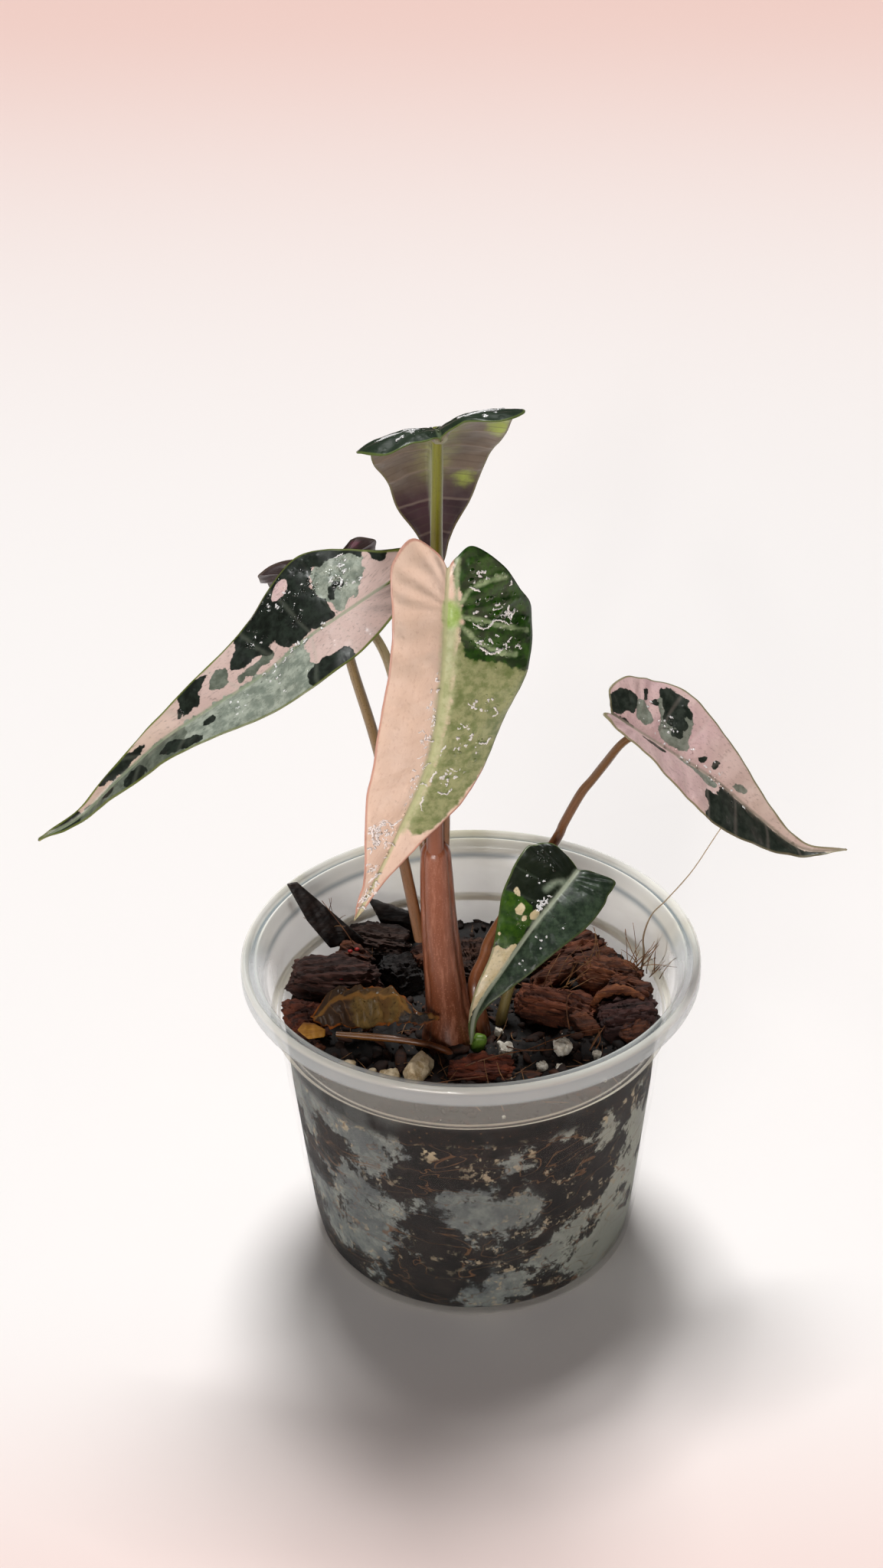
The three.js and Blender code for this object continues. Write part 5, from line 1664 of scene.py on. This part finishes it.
# %% Bark and husk
# Each lump has its place, half sizes and turn, then its low, high and speck colours.
LUMPS = {
    "bark_left": ((-36, 9.4, 70.2), (11.8, 8, 5.4), (8, 6, -12), ("#20110d", "#50322a", "#7a4c3a")),
    "bark_low": ((-42.4, -5.6, 68.6), (5, 6.4, 4), (20, 0, 0), ("#2a120b", "#64301c", "#9a5a34")),
    "bark_dark": ((-18.6, 14.2, 67.2), (5, 6.2, 5), (30, 0, 0), ("#0c0a09", "#231c1a", "#3a322c")),
    "bark_rear": ((-24.6, 31.6, 66.4), (9.4, 4.8, 3.4), (-12, 0, 20), ("#1c110d", "#3a241b", "#5e4434")),
    "bark_middle": ((1.5, 25, 63.5), (4, 8, 4.2), (0, 0, 14), ("#22140f", "#4a2e20", "#6e4c36")),
    "coir_a": ((26, 25, 66.5), (10.8, 8.2, 4.8), (14, -6, 12), ("#32180e", "#6e3a20", "#a2683c")),
    "coir_b": ((37.6, 9, 68.8), (7.6, 4.4, 3.6), (-14, 6, 0), ("#3a1c0f", "#7a4426", "#ac7446")),
    "coir_c": ((22.6, -0.2, 66.8), (9.8, 6.6, 4.6), (-16, 8, -18), ("#381a10", "#763f26", "#aa7048")),
    "coir_d": ((39.6, -5.6, 66.6), (7.2, 6.8, 4.6), (10, 0, -10), ("#1c0e0d", "#40221d", "#6a3c2c")),
    "crumbs": ((2.2, -26.2, 67), (7.6, 3.8, 2.1), (-4, 0, 0), ("#34140b", "#6e3018", "#b05c2c")),
}
for number, (name, (at, half, turn, (low, high, speck))) in enumerate(LUMPS.items()):
    kind = "bark" if name.startswith("bark") else "coir"
    seed = LUMP_SEED + 2 * number
    lump = make_lump(name + "_fine", at, half, turn, seed, chips=9, layers=0.8, grit=0.4)
    worn = grain_finish(name + "_worn", low, high, speck, turn=turn[0], size=520.0)
    finish_piece(lump, kind, name, made=worn)

# %% Smaller chips between them
CHIPS = [((33, 15.5, 70.4), (7, 2.8, 2.6), (38, 12, 34)),
         ((41.4, 2.4, 71), (5.6, 2.6, 2), (-30, 6, 24)),
         ((15, 22, 68), (6.2, 3.4, 3), (-24, 10, 20)),
         ((41.5, -12.5, 67.4), (3.8, 3, 2.4), (60, 0, 12)),
         ((29.5, 29.5, 68), (5.4, 3, 2.6), (-20, 0, 26)),
         ((22, 11, 69), (6.6, 3, 2.4), (28, -14, 22)),
         ((28, -8, 67.4), (4.6, 2.6, 2), (-40, 10, 10)),
         ((-30, 20, 70.6), (5, 3, 2.4), (-16, 12, 16)),
         ((-10, 24, 67.6), (5.6, 3.4, 3), (36, 0, 20)),
         ((-40.5, -15.5, 66.2), (2.4, 3, 2), (70, 0, 0)),
         ((12, -29, 66.6), (4, 2.2, 1.5), (-14, 0, 8)),
         ((-9, -33, 66.2), (3.4, 2, 1.5), (20, 0, 4))]
chip_finish = grain_finish("husk_chip", "#25110a", "#623319", "#955a34", turn=10, size=520.0)
for number, place in enumerate(CHIPS):
    seed = CHIP_SEED + number
    chip = make_lump(f"husk_chip_{number}", *place, seed, 4, 10, layers=0.5, grit=0.3)
    finish_piece(chip, "coir", made=chip_finish)

# %% Pebbles, perlite and the bud
PEBBLES = {
    "shell": ((-13.8, -27.4, 68.8), (2.6, 4.6, 3.6), (-28, 30, -14)),
    "pebble_a": ((-20.9, -28.8, 67.9), (2.4, 2.1, 1.5), (10, 0, 0)),
    "pebble_b": ((-31, -24.4, 67.9), (1.7, 1.9, 1.4), (30, 0, 0)),
    "pebble_c": ((-25.2, -27, 67.5), (1.2, 1.4, 1.1), (0, 0, 0)),
}
PERLITE = {
    "perlite_a": ((22.8, -17.8, 67.6), (2.3, 2, 1.9), (25, 0, 0)),
    "perlite_b": ((8.4, -18.8, 67.4), (1.7, 1.9, 1.9), (0, 0, 0)),
    "perlite_c": ((17, -24.8, 66.9), (1.4, 1.2, 1.1), (15, 0, 0)),
    "perlite_d": ((21.4, -26, 67.3), (1, 1, 1), (0, 0, 0)),
    "perlite_e": ((31.2, -20.4, 66.7), (1.1, 1.1, 1), (0, 0, 0)),
    "perlite_f": ((6.9, -10, 66.5), (1, 1, 1.5), (0, 0, 0)),
}
pebble_finish = grain_finish("warm_pebble", "#a8906a", "#e4d4b4", "#7a5a38", 1.0, 420.0, 0.6, 0.4)
perlite_finish = grain_finish("white_perlite", "#c9c0ae", "#f0ebdf", "#9a9078", 1.0, 900.0, 0.85, 0.5)
for number, (name, place) in enumerate(PEBBLES.items()):
    seed = PEBBLE_SEED + 2 * number
    lump = make_lump(name + "_fine", *place, seed, detail=4, chips=16, grit=0.2)
    finish_piece(lump, "pebble", name, made=pebble_finish)
for number, (name, place) in enumerate(PERLITE.items()):
    seed = PERLITE_SEED + 2 * number
    lump = make_lump(name + "_fine", *place, seed, detail=4, chips=6, grit=0.2, pits=0.5)
    finish_piece(lump, "perlite", name, made=perlite_finish)

bud = make_lump("bud_fine", (1.6, -17.2, 68.6), (1.7, 1.4, 2.6), (0, 12, 0), 53, detail=4)
bud_finish = grain_finish("green_bud", "#3c5a1a", "#6c8c34", "#9cb860", 1.0, 300.0, 0.4, 0.1)
finish_piece(bud, "bud", "bud", made=bud_finish)

# %% [markdown]
# ## Dry litter
# A shrivelled leaf, a dry stalk, two dark shards of old bark and a pale fibre lie on the soil.
# The dry leaf is a small blade, made as the green ones are but folded down at its back edge. A
# shard is a filled outline that is extruded, bevelled and roughened.

# %% Dry leaf, stalk and fibre
DRIED = {
    "mid": [[-38.4, -10.4, 74.4], [-35, -9.2, 76.8], [-29, -8.8, 78.4], [-23, -9.6, 78.8],
            [-18, -12, 79], [-13.2, -15, 77.4], [-8.4, -17.2, 75.6]],
    "face": [[-0.2, -0.5, 0.85], [0, -0.5, 0.85], [0.2, -0.4, 0.9]],
    "left": half_of([1, 1.6, 2, 2.6, 3.2, 3.6, 3.4, 2.4], 3, [2, 1.6, 1]),
    "right": half_of([2.2, 5, 6.4, 8, 8.6, 8.2, 6.4, 4.6], 3, [3.6, 2.6, 1.4]),
    "notch": 2, "fold": -0.75, "curl": -0.35, "wave": 0.8,
}
dry_marks = {
    "grey": patches([(9, 0.6), (16, 0.6), (19, 5), (17, 9), (9, 9)], [(20, 1), (23, 1), (24, 9), (21, 9)]),
    "char": patches([(22.5, -6), (25, 3), (24, 9), (26, 12), (36, 12), (36, -6)]),
}
dry_upper = leaf_finish(
    "dry_upper", ("#3c2c20", "#7a5a2c", "#4a3a2c"),
    [("grey", "#7a6236", "#5a4a2c", 1.6, 1.4), ("char", "#2a2623", "#4a4541", 1.6, 0.8)],
    ("#8a6230", "#2c1c12", 0.15, 0.15), ("#8a4c1c", 0.5), (5.0, 30.0), 0.8, 0.0, rough=0.7, shine=0.1,
)
dry_lower = under_finish(
    "dry_lower", ("#5a3f28", "#3a281c"), [], ("#7a5a38", "#2c1c12"), ("#6b4a2c", "#7a5a34"),
)
dry = make_blade("dried_leaf_fine", DRIED, dry_marks, (dry_upper, dry_lower), 0.5, 90, 40, 0.9)
points = corners(dry)
crumple = 1.1 * uneven(points, 8.0, 5, 3) + 0.4 * uneven(points, 3.0, 6, 2)
place_corners(dry, points + crumple[:, None] * np.array([0.4, 0.5, 1]))
finish_piece(dry, "dried", "dried_leaf")

DRY_STALK = [[-34.3, -14, 70], [-27.2, -15.2, 70], [-20.6, -16.6, 70.2], [-13.9, -17.8, 69.8],
             [-7, -18.8, 68], [-4.6, -19.2, 65.6]]
FIBRE = [[44.4, 12.4, 63], [45.9, 13.4, 73], [45.8, 14.8, 78.3], [47.8, 15.4, 84.7], [51.6, 15, 89.8],
         [57.6, 14, 99], [63.3, 13, 110.7], [66, 12.4, 115.6]]
dry_stalk = make_tube("dried_stalk_fine", DRY_STALK, [0.7, 0.9, 0.9, 0.9, 0.9, 0.9], 14, 50)
straw = stalk_finish("straw", "#7a4c18", "#6a3610", "#2c1a0c", 0.5)
finish_piece(dry_stalk, "dried", "dried_stalk", made=straw)
fibre = make_tube("fibre_fine", FIBRE, [0.3, 0.28, 0.24, 0.2, 0.18, 0.16, 0.14, 0.12], 8, 60)
pale_fibre = stalk_finish("pale_fibre", "#7a6448", "#b8a68a", "#8c7858", 0.4)
finish_piece(fibre, "fibre", "fibre", made=pale_fibre)

# %% Shards and a scrap of dry leaf


def make_plate(name, outline, thick, rough=0.3):
    """A flat broken piece: a filled outline with bevelled edges and uneven faces."""
    piece = start(bpy.ops.mesh.primitive_circle_add, name, vertices=len(outline), fill_type="NGON")
    ring = np.array(outline, float)
    middle = ring.mean(0)
    cross = np.cross(ring - middle, np.roll(ring, -1, axis=0) - middle).sum(0)
    out = unit(cross)
    ring -= ((ring - middle) @ out)[:, None] * out
    place_corners(piece, ring - out * thick / 2)
    edit(piece)
    way = Vector(out * thick * MM)
    bpy.ops.mesh.extrude_region_move(TRANSFORM_OT_translate={"value": way})
    bpy.ops.mesh.select_all(action="SELECT")
    bpy.ops.mesh.normals_make_consistent(inside=False)
    bpy.ops.mesh.bevel(offset=thick * 0.25 * MM, segments=2, affect="EDGES")
    done()
    fine = piece.modifiers.new("fine", "REMESH")
    fine.mode = "VOXEL"
    fine.voxel_size = thick * 0.28 * MM
    apply_all(piece)
    points = corners(piece)
    wave = rough * uneven(points, 4.0, len(name), 3)
    place_corners(piece, points + out * wave[:, None])
    smooth(piece, 40)
    return piece


SHARDS = {
    "shard_left": (
        [[-48.3, 27, 89.2], [-45.4, 27.2, 89.4], [-36.6, 27.6, 79.6], [-27.6, 26.6, 70.4],
         [-37.6, 24.8, 70], [-43.2, 25, 78.4]],
        1.2,
    ),
    "shard_back": ([[-27.4, 39.4, 76.2], [-15.8, 38.8, 71.6], [-13.4, 38.4, 62], [-21.6, 38.6, 62]], 2),
}
shard_finish = grain_finish("black_shard", "#100c0b", "#2a201c", "#4c3a30", 0.15, 500.0, 0.55, 0.5)
for name, (outline, thick) in SHARDS.items():
    finish_piece(make_plate(name + "_fine", outline, thick), "shard", name, made=shard_finish)
SCRAP = [[-44.2, -14, 71.4], [-42.6, -12.8, 73], [-39.8, -12.6, 72.4], [-37, -13.4, 71],
         [-37.2, -14.6, 69.6], [-41.4, -15.2, 69.4]]
scrap_finish = grain_finish("orange_scrap", "#7a4c18", "#b8842c", "#4a3014", 0.2, 400.0, 0.6, 0.3)
finish_piece(make_plate("scrap_fine", SCRAP, 0.8, 0.2), "dried", "dried_scrap", made=scrap_finish)


# %% [markdown]
# ## Crumbs, flakes and fibres
# Between the big pieces lies a fine litter of crumbs, flakes of husk and loose fibres. Each is
# a small shape that is repeated with its own size, turn and place, with seeded random numbers so
# that every run gives the same soil. A few longer roots and tufts of husk hair are placed one by one.

# %% Scatter crumbs and flakes


def soil_place(draw, reach, lift):
    """A random place on the soil's top within a reach from the axis, and a height above it."""
    far, turn = reach * math.sqrt(draw.uniform()), draw.uniform(0, 2 * math.pi)
    x, y = far * math.cos(turn), far * math.sin(turn)
    return x, y, float(soil_height(x, y)) + lift


ROUGHNESS = 0.35  # share of a bit's radius by which it is uneven
TILT = 0.5  # radians by which a bit leans at most


def make_scatter(name, count, small, large, stretch, seed, lift=0.2):
    """Uneven bits of soil or husk on the soil's top, in one mesh."""
    draw = np.random.default_rng(seed)
    ball, loops = small_ball()
    shapes = []
    for _ in range(count):
        x, y, ground = soil_place(draw, SOIL_R - 0.8, 0)
        size = small + (large - small) * draw.uniform() ** 3
        scale = size * np.array(stretch) * draw.uniform(0.7, 1.3, 3)
        bumpy = ball * (1 + ROUGHNESS * uneven(ball * 2 + draw.uniform(0, 60, 3), 3.4, 5, 2))[:, None]
        tip = Euler((draw.uniform(-TILT, TILT), draw.uniform(-TILT, TILT), draw.uniform(0, 6.3)))
        middle = np.array([x, y, ground + lift * size])
        shapes.append((middle + (bumpy * scale) @ np.array(tip.to_matrix()).T, loops))
    return merged(name, shapes)


crumb_finish = grain_finish("dark_crumb", "#080605", "#2c1a12", "#4a2e1e", 0.7, 240.0, 0.8, 0.3)
flake_finish = grain_finish("husk_flake", "#180c07", "#48240f", "#74421e", 0.4, 300.0, 0.8, 0.3)
crumbs = make_scatter("soil_crumbs", 1000, 0.45, 2.0, (1, 0.85, 0.7), 61)
finish_piece(crumbs, "soil", made=crumb_finish)
flakes = make_scatter("husk_flakes", 190, 0.7, 2.4, (1.7, 0.7, 0.45), 62, 0.35)
finish_piece(flakes, "coir", made=flake_finish)

# %% Loose fibres, roots and husk hair


HAIR_POINTS = 9


def hair(start_at, way, length, bend, draw):
    """A thin curved line of points in mm."""
    way = unit(np.array(way, float))
    side = unit(np.cross(way, draw.normal(size=3)))
    far = np.linspace(0, 1, HAIR_POINTS)[:, None]
    wobble = 0.04 * length * draw.normal(size=(HAIR_POINTS, 3)).cumsum(axis=0) / 3
    return np.array(start_at) + length * (way * far + side * bend * far**2) + wobble * far


def make_hairs(name, lines, radius):
    """Thin fibres in one mesh."""
    shapes = [tube_shape(line, radius * np.linspace(1, 0.45, len(line)), 5) for line in lines]
    return merged(name, shapes)


LOOSE_FIBRES = 120
draw = np.random.default_rng(71)
loose = []
for _ in range(LOOSE_FIBRES):
    at = soil_place(draw, 44, 0.8)
    way = (draw.normal(), draw.normal(), draw.uniform(0, 0.45))
    loose.append(hair(at, way, draw.uniform(3, 10), draw.uniform(-0.5, 0.5), draw))
TUFTS = [((43, 12, 71), 16), ((47, 9, 70), 10), ((33, 10, 71), 8), ((22, 3, 70.5), 10), ((-38, 27, 74), 6)]
for root, count in TUFTS:
    for _ in range(count):
        way = (draw.uniform(-0.5, 0.9), draw.uniform(-0.4, 0.5), draw.uniform(0.4, 1))
        at = np.array(root) + draw.normal(size=3) * (1.6, 1.4, 0.6)
        loose.append(hair(at, way, draw.uniform(4, 11), draw.uniform(-0.6, 0.6), draw))
hairs = make_hairs("husk_hairs", loose, 0.14)
hair_finish = grain_finish("husk_hair", "#5a3820", "#8e6840", "#b08a5c", 0.5, 300.0, 0.6, 0.1)
finish_piece(hairs, "coir", made=hair_finish)

ROOTS = [
    [(-2, -27, 69.2), (6, -24.4, 70.2), (14, -21.4, 69.8), (20, -18.6, 70.4), (27, -15, 69.8),
     (34, -13, 69.6)],
    [(8.5, -20, 69.6), (12, -22, 70), (16, -22.6, 70.2), (21, -21.6, 69.8)],
    [(24.8, -11.6, 68.4), (24.2, -9.4, 72), (24.6, -7.6, 75.6), (26.6, -7, 77)],
    [(29.4, -19.4, 67.6), (31.4, -18.4, 70.8), (33.2, -17.4, 73.6)],
    [(31, -18.8, 67.6), (32, -18.6, 70), (31.6, -18.2, 72.6)],
    [(-29.5, 20, 71.4), (-33, 22, 77), (-39, 25.4, 84.6)],
    [(-20, -36, 70), (-14, -36.6, 70.6), (-6, -34, 70.2), (3, -33, 70.6)],
]
root_lines = [curve(line, np.linspace(0, 1, 26)) for line in ROOTS]
roots = make_hairs("thin_roots", root_lines, 0.2)
root_finish = grain_finish("brown_root", "#4a2a16", "#7c4e2c", "#a07044", 0.5, 300.0, 0.5, 0.1)
finish_piece(roots, "coir", made=root_finish)

# %% A ridge of husk, white grains and red bits
RIDGE, RIDGE_WIDTH = [(31, -2.6, 69), (34, -1.6, 72), (39, -1, 72.8), (44.6, -2.6, 71)], 1.3
body = RIDGE_WIDTH * np.sin(np.linspace(0.15, math.pi - 0.15, 40)) ** 0.5
points, faces = tube_shape(curve(RIDGE, np.linspace(0, 1, 40)), body, 14)
points += 0.5 * uneven(points, 2.2, 9, 3)[:, None] * np.array([0.3, 1, 0.8])
ridges = merged("husk_ridges", [(points, faces)])
ridge_finish = grain_finish("husk_ridge", "#4a2412", "#8a5028", "#b87c48", 0.12, 600.0, 0.8, 0.8)
finish_piece(ridges, "coir", made=ridge_finish)

grains = make_scatter("perlite_dust", 60, 0.25, 0.7, (1, 1, 0.9), 63, 0.8)
finish_piece(grains, "perlite", made=perlite_finish)
RED_BITS = [(-33.5, 3.6, 74.6), (-29.8, 17.2, 74.4), (-31.6, 16.6, 74.2)]
ball, loops = small_ball()
red_bits = merged("red_bits", [(np.array(at) + ball * (0.7, 0.6, 0.45), loops) for at in RED_BITS])
red_finish = grain_finish("red_bit", "#7a1414", "#b02a20", "#5a0c0c", 1.0, 500.0, 0.5, 0.1)
finish_piece(red_bits, "bark", made=red_finish)

# %% [markdown]
# ## Sizes
# The dressed plant's box and the CAD model's box are both printed. The dressed plant has
# to stay within the CAD model's box.

# %% Print both boxes
low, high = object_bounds()
sizes = {"cad": [list(cad_low), list(cad_high)], "visual": [list(low), list(high)]}
print("CAD box in mm   ", [round(v / MM, 1) for v in (*cad_low, *cad_high)])
print("visual box in mm", [round(v / MM, 1) for v in (*low, *high)])
